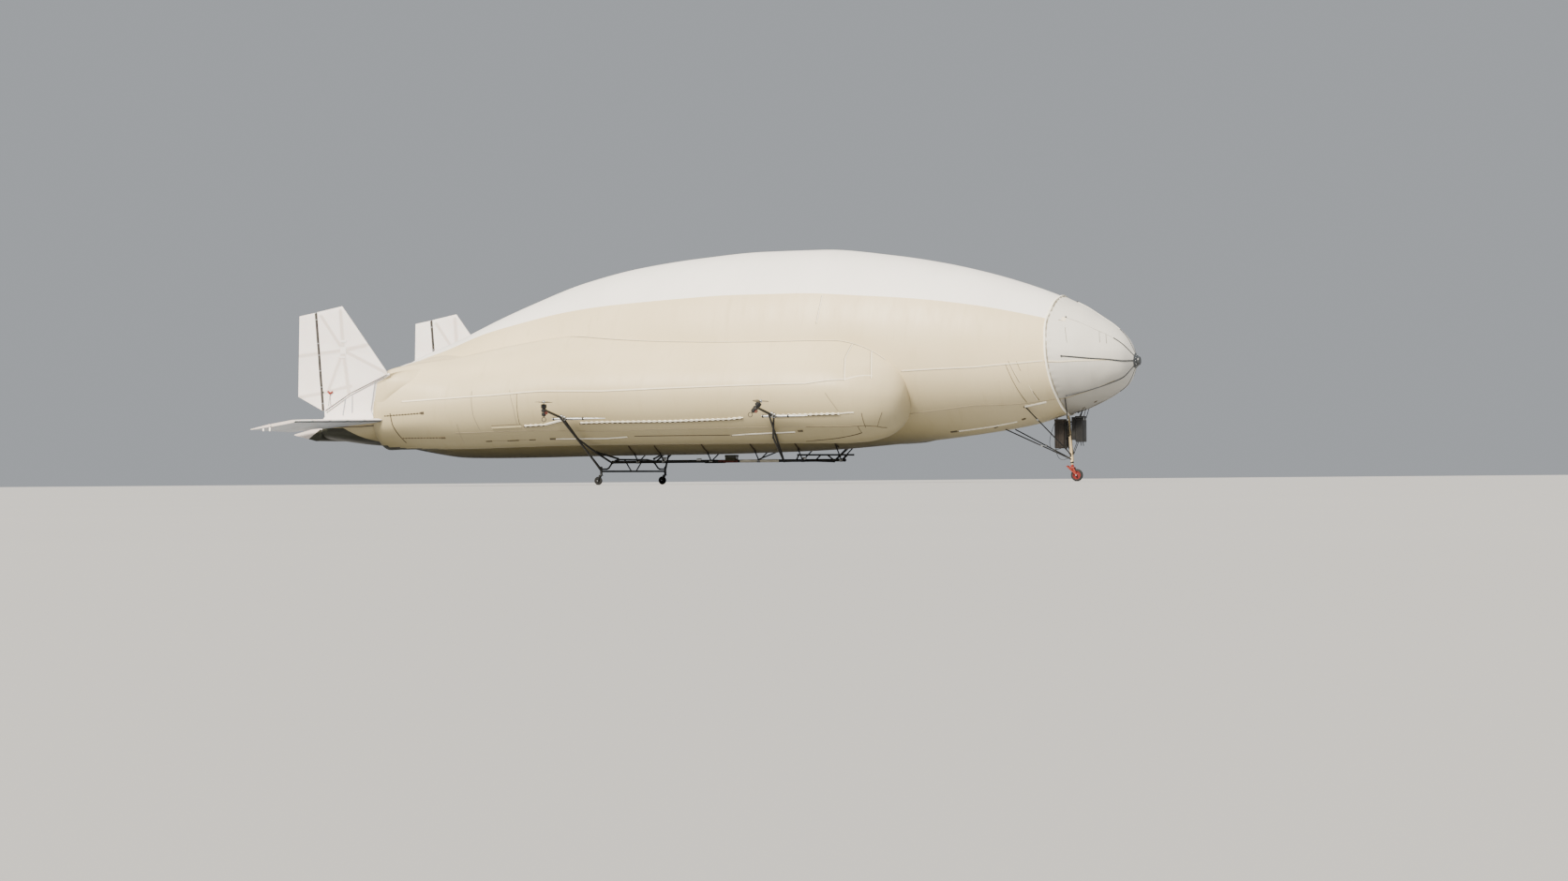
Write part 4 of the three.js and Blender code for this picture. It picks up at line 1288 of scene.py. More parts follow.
# The red control horn: [station, z] of its pivot, its two tips, and its rods' upper and lower ends
HORN_PIVOT = (17.188, 2.008)
HORN_TIPS = ((17.243, 2.059), (17.120, 2.047))
HORN_PIN = (17.188, 2.010)
HORN_ROD_HEAD = (17.188, 2.000)
HORN_ROD_FEET = ((17.179, 1.747), (17.235, 1.747))
FRAME_STUD = (17.356, 2.043)
COLLAR_RADIUS = 0.026
# Heights of the rudder spar's ends and of its clips
SPAR_ENDS = (1.650, 3.740)
HINGE_CLIPS = (3.60, 3.09, 2.84, 2.50, 2.15, 1.80)
# Stations of the brackets under the elevator's tip
TIP_BRACKETS = (17.652, 17.804)


def fin_fittings(side_name, side):
    """Root lines and lines under the stabilizer in painted shade, frame plates, a red control horn
    with its rods, a collar along the fin's front.
    """

    def place(station, z, rise):
        return at(station, side * (FIN_Y + FIN_HALF + rise), z)

    bm = bmesh.new()
    for finish, half, thick, knots in FIN_BANDS:
        band(bm, place, knots, half, thick, finish)
    close_ends(bm)
    lead = [at(station, side * (FIN_Y - 0.018), z) for station, z in FIN_LEAD[:4]]
    for start, end in zip(lead, lead[1:]):
        tube(bm, start, end, COLLAR_RADIUS, 12, 2)
        knob(bm, end, COLLAR_RADIUS, 2)
    shadow_line = [at(station, side * SHADOW_LINE_Y, z) for station, z in ROOT_SHADOW_LINE]
    for start, end in zip(shadow_line, shadow_line[1:]):
        tube(bm, start, end, 0.009, 8)
    tube(bm, *(at(station, side * y, z) for station, y, z in FRONT_SHADOW_LINE), 0.008, 8)
    for tip in HORN_TIPS:
        tube(bm, place(*HORN_PIVOT, 0.006), place(*tip, 0.006), 0.022, 12, 3)
    tube(bm, place(*HORN_PIN, -0.01), place(*HORN_PIN, 0.030), 0.020, 12, 3)
    for foot in HORN_ROD_FEET:
        tube(bm, place(*HORN_ROD_HEAD, 0.010), place(*foot, 0.004), 0.004, 8, 4)
    knob(bm, place(*FRAME_STUD, 0.004), 0.016, 0)
    paints = [DARK_PARTS_AND_GAP_SHADE, SHADED_UNDER_FILM, FIN_FILM, RED_PAINT, SILVER_TUBE]
    finish_piece(bm, "fin_fittings_" + side_name, "hull", paints, sharp=40)


def rudder_spar(side_name, side):
    """The spar at the rudder's hinge line, dark as painted shade of the hinge gap, with silver clips."""
    bm = bmesh.new()
    low, high = (at(hinge_station(z), side * FIN_Y, z) for z in SPAR_ENDS)
    tube(bm, low, high, 0.0285, 18)
    for z in HINGE_CLIPS:
        middle = at(hinge_station(z), side * FIN_Y, z)
        tube(bm, middle - Vector((0, 0, 0.012)), middle + Vector((0, 0, 0.012)), 0.0300, 18, 1)
    paints = [DARK_PARTS_AND_GAP_SHADE, SILVER_TUBE]
    finish_piece(bm, "rudder_spar_" + side_name, "rudder_" + side_name, paints, sharp=40)


def tip_brackets(side_name, side):
    """Two small white brackets under the tip of the elevator."""
    bm = bmesh.new()
    for station in TIP_BRACKETS:
        foot = at(station, side * 4.830, 1.270)
        block(bm, foot - Vector((0.020, 0.010, 0.066)), foot + Vector((0.020, 0.010, 0.020)), 0.005)
        knob(bm, foot - Vector((0, 0, 0.062)), 0.022)
    name = "tip_brackets_" + side_name
    finish_piece(bm, name, "elevator_" + side_name, [FIN_FILM], sharp=40)


# Each fixed surface: rows of [y, lead station, lead z, trail station, trail z, thickness]
STABILIZER = [[2.918, 15.950, 1.430, 17.328, 1.300, 0.090], [4.850, 17.040, 1.405, 17.610, 1.315, 0.060]]
# Each moving surface: rows of [y, hinge station, hinge z, trail station, trail z, nose radius]
ELEVATOR = [[2.935, 17.370, 1.296, 18.120, 1.195, 0.030], [4.850, 17.652, 1.311, 18.100, 1.235, 0.030]]
CENTRE_ELEVATOR = [[y, 17.575, 1.130, 18.100, 1.130, 0.140] for y in (-2.825, 2.825)]
TRAIL_HALF = 0.007


def fixed_section(lead, lead_z, trail, trail_z, thick, u, sag):
    """A film section with a round leading edge: [station, middle z, half depth]."""
    chord = 1 - math.cos(math.pi * u / 2)
    depth = thick / 2 * math.sqrt(min(1.0, chord / 0.10))
    sunk = sag * ease((chord - 0.1) / 0.2) * ease((1 - chord) / 0.1)
    depth = max(0.002, depth - sunk)
    return [lead + (trail - lead) * chord, lead_z + (trail_z - lead_z) * chord, depth]


def moving_section(hinge, hinge_z, trail, trail_z, radius, u, sag):
    """A section that is round about its hinge and straight to a thin trailing edge."""
    if u < 0.3:
        angle = math.radians(3 + 87 * u / 0.3)
        return [hinge - radius * math.cos(angle), hinge_z, radius * math.sin(angle)]
    chord = (u - 0.3) / 0.7
    sunk = sag * ease(chord / 0.15) * ease((1 - chord) / 0.15)
    depth = stretch_between(radius, TRAIL_HALF, chord)
    return [hinge + (trail - hinge) * chord, hinge_z + (trail_z - hinge_z) * chord, max(0.003, depth - sunk)]


# Level panels: columns and rows, sag between the ribs, gaps between ribs on a wide and a narrow one,
# and half the width of a rib's shadow with its soft edge
LEVEL_GRID = (30, 80)
LEVEL_SAG = 0.007
WIDE_GAPS, NARROW_GAPS = 8, 5
RIB_HALF = 0.012
RIB_EDGE = 0.03


def level_panel(name, body, rows, side, hides, section, under):
    """A level film surface that sags between its ribs, white above and in a painted-shade material below."""
    bm = bmesh.new()
    ribs = WIDE_GAPS if abs(rows[1][0] - rows[0][0]) > 3 else NARROW_GAPS

    def spot_on(way):
        def spot(u, v):
            y, *sizes = [a + (b - a) * v for a, b in zip(rows[0], rows[1])]
            sag = LEVEL_SAG * abs(math.sin(math.pi * ribs * v))
            station, z, depth = section(*sizes, u, sag)
            return at(station, side * y, z + way * depth)

        return spot

    patch(bm, *LEVEL_GRID, spot_on(1), lambda u, v: 0)
    patch(bm, *LEVEL_GRID, spot_on(-1), lambda u, v: 1)
    join_rims(bm)
    made = finish_piece(bm, name, body, [FIN_FILM, under], hides, sharp=50)
    layer = made.data.attributes.new("rib_shadow", "FLOAT", "POINT")
    inner, outer = rows[0][0], rows[1][0]
    for i, vert in enumerate(made.data.vertices):
        share = (side * vert.co.y - inner) / (outer - inner)
        off = abs(share * ribs - round(share * ribs)) / ribs * abs(outer - inner)
        layer.data[i].value = 1 - ease((off - RIB_HALF) / RIB_EDGE)
    return made


def rods_piece(name, body, rows, material, hides, joint_scale=1.25, extra=None):
    """A welded tube frame from rows of [point, point, radius], with a swelling at each joint."""
    bm = bmesh.new()
    ends = {}
    for start, end, radius in rows:
        tube(bm, start, end, radius)
        for point in (start, end):
            key = tuple(round(c, 3) for c in point)
            ends[key] = max(ends.get(key, 0.0), radius)
    for key, radius in ends.items():
        knob(bm, Vector(key), radius * joint_scale)
    if extra:
        extra(bm)
    finish_piece(bm, name, body, [material, SILVER_TUBE, DULL_RED, WHITE_ROPE], hides, sharp=40)


KEEL_Z = 0.490
AXLE_STATION = 11.360
TRACK_HALF = 1.770
AXLE_LOW = 0.290
AXLE_HIGH = 0.542
# Stations of the keel beam's pairs of hangers
HANGERS = (11.100, 10.500, 9.400, 8.300, 7.300, 6.420)
# How far aft of its station a hanger's foot is, the [y, z] that it aims at, and how far it goes there
HANGER_LEAN = 0.150
HANGER_HEAD = (0.980, 1.000)
HANGER_SHARE = 0.86
# The payload plate's back and front station and half width
PAYLOAD_PLATE = (9.660, 9.260, 0.110)
# Small silver units on the keel beam: [station, height of the top]
KEEL_UNITS = [[10.640, 0.590], [9.834, 0.556], [7.420, 0.560]]
# Rods of the keel beam and its short upper beam: [station, z, station, z, radius]
KEEL_RODS = [
    [11.850, KEEL_Z, 6.500, KEEL_Z, 0.030],
    [7.560, 0.610, 6.300, 0.600, 0.018],
    [7.160, KEEL_Z, 7.040, 0.605, 0.016],
    [6.740, KEEL_Z, 6.890, 0.605, 0.016],
    [7.600, KEEL_Z, 7.540, 0.612, 0.016],
    [6.560, KEEL_Z, 6.420, 0.605, 0.016],
    [8.545, KEEL_Z, 8.030, 0.680, 0.014],
]
# Sleeves on the beam: [station, station, height over the beam, radius, sides, finish]
KEEL_SLEEVES = [
    [10.970, 9.400, 0.022, 0.014, 12, 1],
    [9.380, 8.930, 0, 0.0325, 18, 2],
    [8.880, 7.990, 0, 0.0325, 18, 3],
]


def keel_piece():
    """The keel beam with its hangers, red and white sleeves, payload plate and small silver items."""
    rows = [[at(a, 0, low), at(b, 0, high), radius] for a, low, b, high, radius in KEEL_RODS]
    for station in HANGERS:
        for way in (1, -1):
            foot = at(station + HANGER_LEAN, 0, KEEL_Z)
            head = at(station, way * HANGER_HEAD[0], HANGER_HEAD[1])
            rows.append([foot, foot.lerp(head, HANGER_SHARE), 0.014])

    def fittings(bm):
        back, front, half = PAYLOAD_PLATE
        block(bm, at(back, -half, KEEL_Z - 0.042), at(front, half, KEEL_Z - 0.024), 0.004)
        for start, end, over, radius, sides, finish in KEEL_SLEEVES:
            tube(bm, at(start, 0, KEEL_Z + over), at(end, 0, KEEL_Z + over), radius, sides, finish)
        for station, height in KEEL_UNITS:
            low, high = at(station + 0.050, -0.030, KEEL_Z + 0.016), at(station - 0.050, 0.030, height)
            block(bm, low, high, 0.006, 1)
        for station in HANGERS:
            foot = station + HANGER_LEAN
            tube(bm, at(foot + 0.035, 0, KEEL_Z), at(foot - 0.035, 0, KEEL_Z), 0.034, 18, 1)

    rods_piece("keel_frame", "hull", rows, BLACK_TUBE, ["keel_truss"], extra=fittings)


# One end of the axle truss's upper chord: [y, z]
AXLE_SWEEP = [
    [0.000, 0.542],
    [0.750, 0.542],
    [1.000, 0.520],
    [1.200, 0.455],
    [1.360, 0.362],
    [1.460, 0.338],
    [1.770, 0.336],
]


def axle_piece():
    """The rear axle truss across the keel, with an upper and a lower chord."""

    def beam(y, z):
        return at(AXLE_STATION, y, z)

    rows = [[beam(-TRACK_HALF, AXLE_LOW), beam(TRACK_HALF, AXLE_LOW), 0.020]]
    for way in (1, -1):
        post = way * TRACK_HALF
        rows.append([beam(post, 0.262), beam(post, 0.366), 0.026])
        rows.append([beam(way * 0.510, AXLE_HIGH), beam(way * 0.130, AXLE_LOW), 0.014])
        for (y0, z0), (y1, z1) in zip(AXLE_SWEEP, AXLE_SWEEP[1:]):
            rows.append([beam(way * y0, z0), beam(way * y1, z1), 0.018])
    rods_piece("axle_frame", "hull", rows, BLACK_TUBE, ["axle_truss"], joint_scale=1.12)


ARM_ROOT = (2.990, 1.395)
HEAD_Y = 4.050
HEAD_Z = 1.560
PIVOT_Y = HEAD_Y - 0.110
# Distances from the middle of the two clamps at each arm's root
ROOT_CLAMPS = (3.010, 3.150)
# Where the rail tubes lie along the lobe, and their clamps as shares of their length
RAIL_Y = 2.905
RAIL_Z = 1.400
RAIL_CLAMPS = (0.42, 0.97)
# Engines: [front or rear, station, tilt of the head in degrees, rail start, rail end]
ENGINES = (("front", 6.930, 40, 6.230, 7.250), ("rear", 11.670, 0, 10.770, 11.990))


def arm_z(y):
    """The height of the engine arm at a distance from the middle."""
    share = (y - ARM_ROOT[0]) / (PIVOT_Y - ARM_ROOT[0])
    return ARM_ROOT[1] + share * (HEAD_Z - ARM_ROOT[1])


def engine_frame(end, station, side_name, side):
    """The outboard arm with its struts down to the truss, two clamps at the root and a pivot pin."""

    def off(where, y, z):
        return at(where, side * y, z)

    rows = [[off(station, 2.950, arm_z(2.950)), off(station, PIVOT_Y, HEAD_Z), 0.026]]
    strut = 0.021
    if end == "rear":
        elbow = off(11.540, 2.600, 0.985)
        knee = off(11.420, 2.000, 0.715)
        rows += [
            [off(station, 3.230, arm_z(3.230)), off(AXLE_STATION, TRACK_HALF, 0.330), strut],
            [off(station, 3.030, arm_z(3.030)), elbow, strut],
            [elbow, knee, strut],
            [knee, off(11.300, 1.000, 0.560), strut],
            [knee, off(AXLE_STATION, 1.180, 0.470), strut],
            [elbow, off(AXLE_STATION, TRACK_HALF, 0.300), strut],
        ]
    else:
        elbow = off(7.130, 2.560, 0.960)
        foot = off(7.300, 1.500, 0.470)
        rows += [
            [off(station, 3.330, arm_z(3.330)), foot, strut],
            [foot, off(7.360, 0, KEEL_Z), strut],
            [off(station, 3.030, arm_z(3.030)), elbow, strut],
            [elbow, foot, strut],
        ]

    def fittings(bm):
        for y in ROOT_CLAMPS:
            middle = off(station, y, arm_z(y))
            low, high = middle - Vector((0.034, 0.020, 0.034)), middle + Vector((0.034, 0.020, 0.052))
            block(bm, low, high, 0.006, 1)
            knob(bm, middle + Vector((0, 0, 0.060)), 0.012)
        tube(bm, off(station, PIVOT_Y - 0.020, HEAD_Z), off(station, HEAD_Y, HEAD_Z), 0.0145, material=1)

    name = f"arm_frame_{end}_{side_name}"
    hides = [f"engine_arm_{end}_{side_name}"]
    rods_piece(name, "hull", rows, BLACK_TUBE, hides, extra=fittings)


def rail_piece(end, start, stop, side_name, side):
    """The bare tube laced along the lobe at the arm's root, drawn down to a point at its front end."""
    length = stop - start
    outline = [
        (0.0, 0.0),
        (0.008, 0.004),
        (0.012, 0.10 * length),
        (0.020, 0.35 * length),
        (0.026, 0.60 * length),
        (0.026, 0.92 * length),
        (0.022, 0.995 * length),
        (0.0, length),
    ]
    rail_start = Matrix.Translation(at(start, side * RAIL_Y, RAIL_Z))
    bm = bmesh.new()
    turned(bm, outline, rail_start @ Matrix.Rotation(math.radians(-90), 4, "Y"), 20)
    for share in RAIL_CLAMPS:
        middle = at(start + length * share, side * RAIL_Y, RAIL_Z)
        tube(bm, middle - Vector((0.014, 0, 0)), middle + Vector((0.014, 0, 0)), 0.032, 18, 1)
        knob(bm, middle + Vector((0, side * 0.034, 0)), 0.009, 1)
    name = f"rail_tube_{end}_{side_name}"
    hides = [f"engine_rail_{end}_{side_name}"]
    finish_piece(bm, name, "hull", [SILVER_TUBE, BLACK_TUBE], hides, sharp=40)


def head_place(station, tilt, side):
    """Lays a motor head at the end of its arm, tilted as it parks."""
    turn = Matrix.Rotation(math.radians(tilt), 4, "Y")
    return Matrix.Translation(at(station, side * HEAD_Y, HEAD_Z)) @ turn


def hoop(bm, matrix, ring, thick):
    """A round ring of wire, ring metres in radius."""
    verts = bmesh.ops.create_circle(bm, segments=8, radius=thick)["verts"]
    bmesh.ops.rotate(bm, verts=verts, cent=(0, 0, 0), matrix=Matrix.Rotation(math.radians(90), 3, "X"))
    bmesh.ops.translate(bm, verts=verts, vec=(ring, 0, 0))
    edges = list({edge for vert in verts for edge in vert.link_edges})
    spin_round(bm, verts, edges, matrix, 28, 0)


# Outlines of a motor head's parts: (radius, height)
BARREL = [
    (0.0, 0.014),
    (0.0165, 0.014),
    (0.0165, -0.078),
    (0.036, -0.078),
    (0.042, -0.072),
    (0.042, 0.044),
    (0.036, 0.050),
    (0.0, 0.050),
]
POD = [(0.0, -0.120), (0.030, -0.118), (0.044, -0.104), (0.048, -0.085), (0.048, -0.045), (0.0, -0.045)]
CAN_FOOT = [(0.0, 0.040), (0.044, 0.042), (0.050, 0.050)]
CAN_RIBS = 5
CAN_TOP = [(0.058, 0.128), (0.040, 0.134), (0.014, 0.136), (0.008, 0.138), (0.008, 0.186), (0.0, 0.188)]


def head_piece(end, station, tilt, side_name, side):
    """A tilting motor head: cross barrel, pod, ribbed motor can, shaft, servo box and ring skid."""
    place = head_place(station, tilt, side)
    bm = bmesh.new()
    lay = place @ Matrix.Rotation(math.radians(-90 * side), 4, "X")
    turned(bm, BARREL, lay, 28)
    turned(bm, POD, place, 28)
    can = list(CAN_FOOT)
    for i in range(CAN_RIBS):
        low = 0.054 + 0.014 * i
        can += [(0.062, low), (0.062, low + 0.008), (0.056, low + 0.009), (0.056, low + 0.013)]
    turned(bm, can + CAN_TOP, place, 36)
    block(bm, (0.030, -0.026, -0.080), (0.078, 0.026, -0.020), 0.005, 1, place)
    tube(bm, place @ Vector((0, 0, -0.110)), place @ Vector((0, 0, -0.140)), 0.010, 12)
    stand = place @ Matrix.Translation((0, 0, -0.185)) @ Matrix.Rotation(math.radians(90), 4, "X")
    hoop(bm, stand, 0.046, 0.007)
    name, body = f"motor_head_{end}_{side_name}", f"tilt_head_{end}_{side_name}"
    finish_piece(bm, name, body, [POD_PLASTIC, DULL_RED], [body], sharp=35)


ROTOR_LIFT = 0.175
# Blade sections: [reach, chord, thickness, pitch in degrees]
BLADE = [
    [0.028, 0.036, 0.018, 24.0],
    [0.120, 0.068, 0.013, 20.0],
    [0.260, 0.060, 0.009, 13.0],
    [0.400, 0.042, 0.006, 9.0],
    [0.450, 0.018, 0.003, 8.0],
]
blade_at = bend(BLADE)
BLADE_GRID = (16, 26)
# The hub's outline: (radius, height)
PROPELLER_HUB = [
    (0.0, 0.014),
    (0.009, 0.014),
    (0.009, -0.019),
    (0.032, -0.019),
    (0.036, -0.014),
    (0.036, 0.010),
    (0.030, 0.022),
    (0.016, 0.032),
    (0.0, 0.035),
]


def propeller_piece(end, station, tilt, side_name, side):
    """A two-blade carbon propeller: twisted blades of aerofoil section and a domed hub."""
    place = head_place(station, tilt, side) @ Matrix.Translation((0, 0, ROTOR_LIFT))
    bm = bmesh.new()
    for way in (1, -1):

        def spot(u, v):
            reach = stretch_between(BLADE[0][0], BLADE[-1][0], v)
            chord, thick, pitch = blade_at(reach)
            turn = math.radians(pitch) * way
            angle = 2 * math.pi * (u % 1.0)
            x = chord / 2 * math.cos(angle)
            z = thick / 2 * math.sin(angle) * (1 - 0.35 * math.cos(angle) * way)
            across = x * math.cos(turn) - z * math.sin(turn)
            return place @ Vector((across, way * reach, x * math.sin(turn) + z * math.cos(turn)))

        made = patch(bm, *BLADE_GRID, spot)
        bmesh.ops.remove_doubles(bm, verts=made, dist=1e-5)
    close_ends(bm)
    turned(bm, PROPELLER_HUB, place, 28, 1)
    name, body = f"carbon_propeller_{end}_{side_name}", f"propeller_{end}_{side_name}"
    finish_piece(bm, name, body, [BLADE_CARBON, SILVER_TUBE], [body], sharp=40)


# Casters: [fork name, wheel name, swivel station, y, swivel z, axle station, wheel radius,
# half width, fork half width, collar radius, leg radius, axle radius]
CASTERS = [
    ["rear_caster_" + name, "rear_wheel_" + name, 11.360, side * 1.770, 0.258, 11.430, 0.090]
    + [0.024, 0.042, 0.026, 0.010, 0.009]
    for name, side in SIDES
] + [["nose_caster", "nose_wheel", 1.440, 0.0, 0.352, 1.340, 0.130, 0.032, 0.054, 0.034, 0.014, 0.012]]
# Where the nose caster's loop arms end: [station, z]
LOOP_AT = [1.540, 0.318]


def caster_piece(row):
    """A caster fork: collar with its bearing, bent top plate, two blades and the axle bolt with nuts."""
    name, _, station, y, top, axle_station, radius, half, fork, collar, leg, axle = row
    red = name == "nose_caster"
    bm = bmesh.new()
    plate = 2 * radius + 0.024
    centre = at(station, y, 0)
    lean = math.copysign(leg * 2, station - axle_station)
    turned(
        bm,
        [
            (0.0, plate),
            (collar * 1.1, plate),
            (collar * 1.1, plate + 0.010),
            (collar, plate + 0.014),
            (collar, top - 0.014),
            (collar * 0.9, top - 0.005),
            (0.012, top - 0.004),
            (0.012, top + 0.050),
            (0.0, top + 0.052),
        ],
        Matrix.Translation(centre),
        28,
    )
    reach = Vector((collar * 1.3, fork + leg, 0.009))
    middle = Vector((centre.x + lean / 2, y, plate))
    block(bm, middle - reach, middle + reach, 0.006)
    for way in (1, -1):
        head = at(station - lean, y + way * fork, plate)
        foot = at(axle_station, y + way * fork, radius)
        along = foot - head
        tilt = Matrix.Rotation(math.atan2(along.x, along.z), 4, "Y")
        lay = Matrix.Translation((head + foot) / 2) @ tilt
        size = (collar * 0.62, leg * 0.55, along.length / 2 + leg)
        block(bm, (-size[0], -size[1], -size[2]), size, 0.005, 0, lay)
    bolt = at(axle_station, y, radius)
    if red:
        for way in (1, -1):
            arm = at(LOOP_AT[0], way * fork, LOOP_AT[1])
            tube(bm, bolt + Vector((0, way * fork, 0)), arm, leg)
            knob(bm, arm, leg * 1.1)
        tube(bm, at(LOOP_AT[0], -fork, LOOP_AT[1]), at(LOOP_AT[0], fork, LOOP_AT[1]), leg)
    tube(bm, bolt - Vector((0, fork + leg, 0)), bolt + Vector((0, fork + leg, 0)), axle, 16, 1)
    for way in (1, -1):
        nut = bolt + Vector((0, way * (fork + leg - 0.003), 0))
        tube(bm, nut, nut + Vector((0, way * 0.006, 0)), axle * 1.6, 6, 1)
    paint = RED_PAINT if red else BLACK_TUBE
    finish_piece(bm, name + "_fork", name, [paint, SILVER_TUBE], [name], sharp=35)


def wheel_piece(row):
    """A wheel turned in one: rounded tyre with grooves, dished hub with a bearing, bored for its axle."""
    _, name, _, y, _, station, radius, half, _, _, _, axle = row
    nose = name == "nose_wheel"
    lay = Matrix.Translation(at(station, y, radius)) @ Matrix.Rotation(math.radians(90), 4, "X")
    bore = axle + 0.001
    rim = radius * (0.66 if nose else 0.56)
    bm = bmesh.new()
    tread = [(rim, -half * 0.86)]
    round_off = (radius - rim) * 0.42
    for degrees in range(-80, 81, 10):
        angle = math.radians(degrees)
        groove = 0.0015 if degrees in (-20, 0, 20) else 0.0
        out = radius - round_off + (round_off - groove) * math.cos(angle)
        tread.append((out, half * 0.98 * math.sin(angle)))
    tread += [(rim, half * 0.86), (rim, -half * 0.86)]
    turned(bm, tread, lay, 56, 0)
    hub = [
        (bore, -half),
        (bore + 0.012, -half),
        (bore + 0.014, -half * 0.6),
        (rim * 0.55, -half * 0.45),
        (rim * 0.80, -half * 0.55),
        (rim * 0.88, -half * 0.9),
        (rim, -half * 0.9),
        (rim, half * 0.9),
        (rim * 0.88, half * 0.9),
        (rim * 0.80, half * 0.55),
        (rim * 0.55, half * 0.45),
        (bore + 0.014, half * 0.6),
        (bore + 0.012, half),
        (bore, half),
        (bore, -half),
    ]
    turned(bm, hub, lay, 40, 1)
    hub_finish = RED_HUB if nose else CHARCOAL_BOX
    finish_piece(bm, name + "_tyre", name, [TYRE_RUBBER, hub_finish], [name], sharp=35)


LEG_LOW_Z = 0.357
LEG_TOP_Z = 1.455
LEG_LEAN = 0.090 / 1.103
# Heights of the leg's black collars and of the bars between the boxes
LEG_COLLARS = (0.380, 0.520, 0.940, 1.180)
BOX_BARS = (0.880, 1.240)
# Boxes ahead of the nose leg and behind it: [front station, back station, half width, low z, high z]
FRONT_BOX = [1.165, 1.325, 0.150, 0.820, 1.360]
REAR_BOX = [1.570, 1.780, 0.130, 0.690, 1.300]
# Struts of the nose leg: [kind, height on the leg, far station, y, z]
NOSE_STRUTS = [
    ["rear", 0.460, 2.790, 0.330, 1.100],
    ["side", 0.560, 2.170, 0.940, 1.570],
    ["brace", 0.950, 1.335, 0.790, 1.715],
]


def leg_at(z, y=0.0):
    """A point on the middle line of the nose leg, which leans back a little."""
    return at(1.440 + LEG_LEAN * (z - LEG_LOW_Z), y, z)


def nose_leg():
    """The nose leg: a tan tube with a flat channel down its front, and bars that carry the boxes."""
    bm = bmesh.new()
    foot, top = leg_at(LEG_LOW_Z), leg_at(LEG_TOP_Z)
    tube(bm, foot, top, 0.028, 20)
    turn = Matrix.Rotation(-math.atan(LEG_LEAN), 4, "Y")
    lay = Matrix.Translation((foot + top) / 2) @ turn
    long = (top - foot).length / 2
    block(bm, (0.012, -0.036, 0.060 - long), (0.034, 0.036, long - 0.120), 0.005, 0, lay)
    for height in LEG_COLLARS:
        ring = leg_at(height)
        tube(bm, ring, leg_at(height + 0.026), 0.035, 20, 1)
    for height in BOX_BARS:
        front, rear = at(FRONT_BOX[1] + 0.001, 0, height), at(REAR_BOX[0] - 0.001, 0, height)
        tube(bm, front, rear, 0.015, 14, 1)
    block(bm, (-0.040, -0.050, long - 0.090), (0.044, 0.050, long - 0.010), 0.008, 2, lay)
    paints = [TAN_PAINT, BLACK_TUBE, SILVER_TUBE]
    finish_piece(bm, "nose_leg_tube", "hull", paints, ["nose_leg"], sharp=35)


def nose_struts():
    """Three struts on each side that hold the nose leg, each with a joint sleeve."""
    for name, side in SIDES:
        for kind, height, station, y, z in NOSE_STRUTS:
            bm = bmesh.new()
            low = leg_at(height, side * 0.022)
            high = at(station, side * y, z)
            run = (high - low).normalized()
            start = low + run * 0.016
            tube(bm, start, high, 0.013, 14)
            knob(bm, start, 0.016)
            middle = low.lerp(high, 0.72 if kind == "side" else 0.45)
            tube(bm, middle - run * 0.022, middle + run * 0.022, 0.020, 14, 1)
            paints, hides = [BLACK_TUBE, SILVER_TUBE], [f"nose_strut_{kind}_{name}"]
            finish_piece(bm, f"nose_brace_{kind}_{name}", "hull", paints, hides, sharp=35)


# Loose wires round the nose boxes: [start, twice the sag of the middle, end]
WIRES = [
    [at(1.800, -0.080, 1.200), Vector((-0.340, -0.050, -0.420)), at(1.640, -0.060, 0.700)],
    [at(1.790, -0.020, 0.760), Vector((-0.150, -0.020, -0.330)), at(1.480, 0.030, 0.520)],
    [at(1.700, -0.135, 1.250), Vector((0.060, -0.060, -0.300)), at(1.360, -0.120, 1.300)],
    [at(1.640, 0.135, 0.760), Vector((0.050, 0.040, -0.300)), at(1.420, 0.050, 0.620)],
]
# Pairs of hanging rods at the nose boxes: [(station, z), (station, z), half the gap between them]
BOX_RODS = [
    [(1.148, 1.357), (1.085, 1.560), 0.100],
    [(1.209, 1.358), (1.167, 1.510), 0.100],
    [(1.316, 0.823), (1.425, 0.560), 0.050],
    [(1.230, 0.823), (1.215, 0.740), 0.080],
]


def box_carriers():
    """Dark angle strips, wires and hanging rods that tie the nose boxes to the leg and the skin."""
    bm = bmesh.new()
    for y in (-0.115, 0.075):
        block(bm, at(1.415, y, 0.860), at(1.335, y + 0.040, 1.340), 0.004)
        block(bm, at(1.560, y, 0.720), at(1.540, y + 0.040, 1.280), 0.004)
    for y in (-0.060, 0.0, 0.060):
        block(bm, at(1.800, y - 0.012, 0.700), at(1.790, y + 0.012, 1.290), 0.003)
    for (s0, z0), (s1, z1), half in BOX_RODS:
        for way in (1, -1):
            tube(bm, at(s0, way * half, z0), at(s1, way * half, z1), 0.008, 10)
    for start, sag, end in WIRES:
        shares = [i / 14 for i in range(15)]
        path = [start.lerp(end, share) + sag * (share * (1 - share) * 2) for share in shares]
        for a, b in zip(path, path[1:]):
            tube(bm, a, b, 0.0055, 8, 1)
            knob(bm, b, 0.0055, 1)
    finish_piece(bm, "box_carriers", "hull", [CHARCOAL_BOX, WIRE_BLACK], sharp=35)


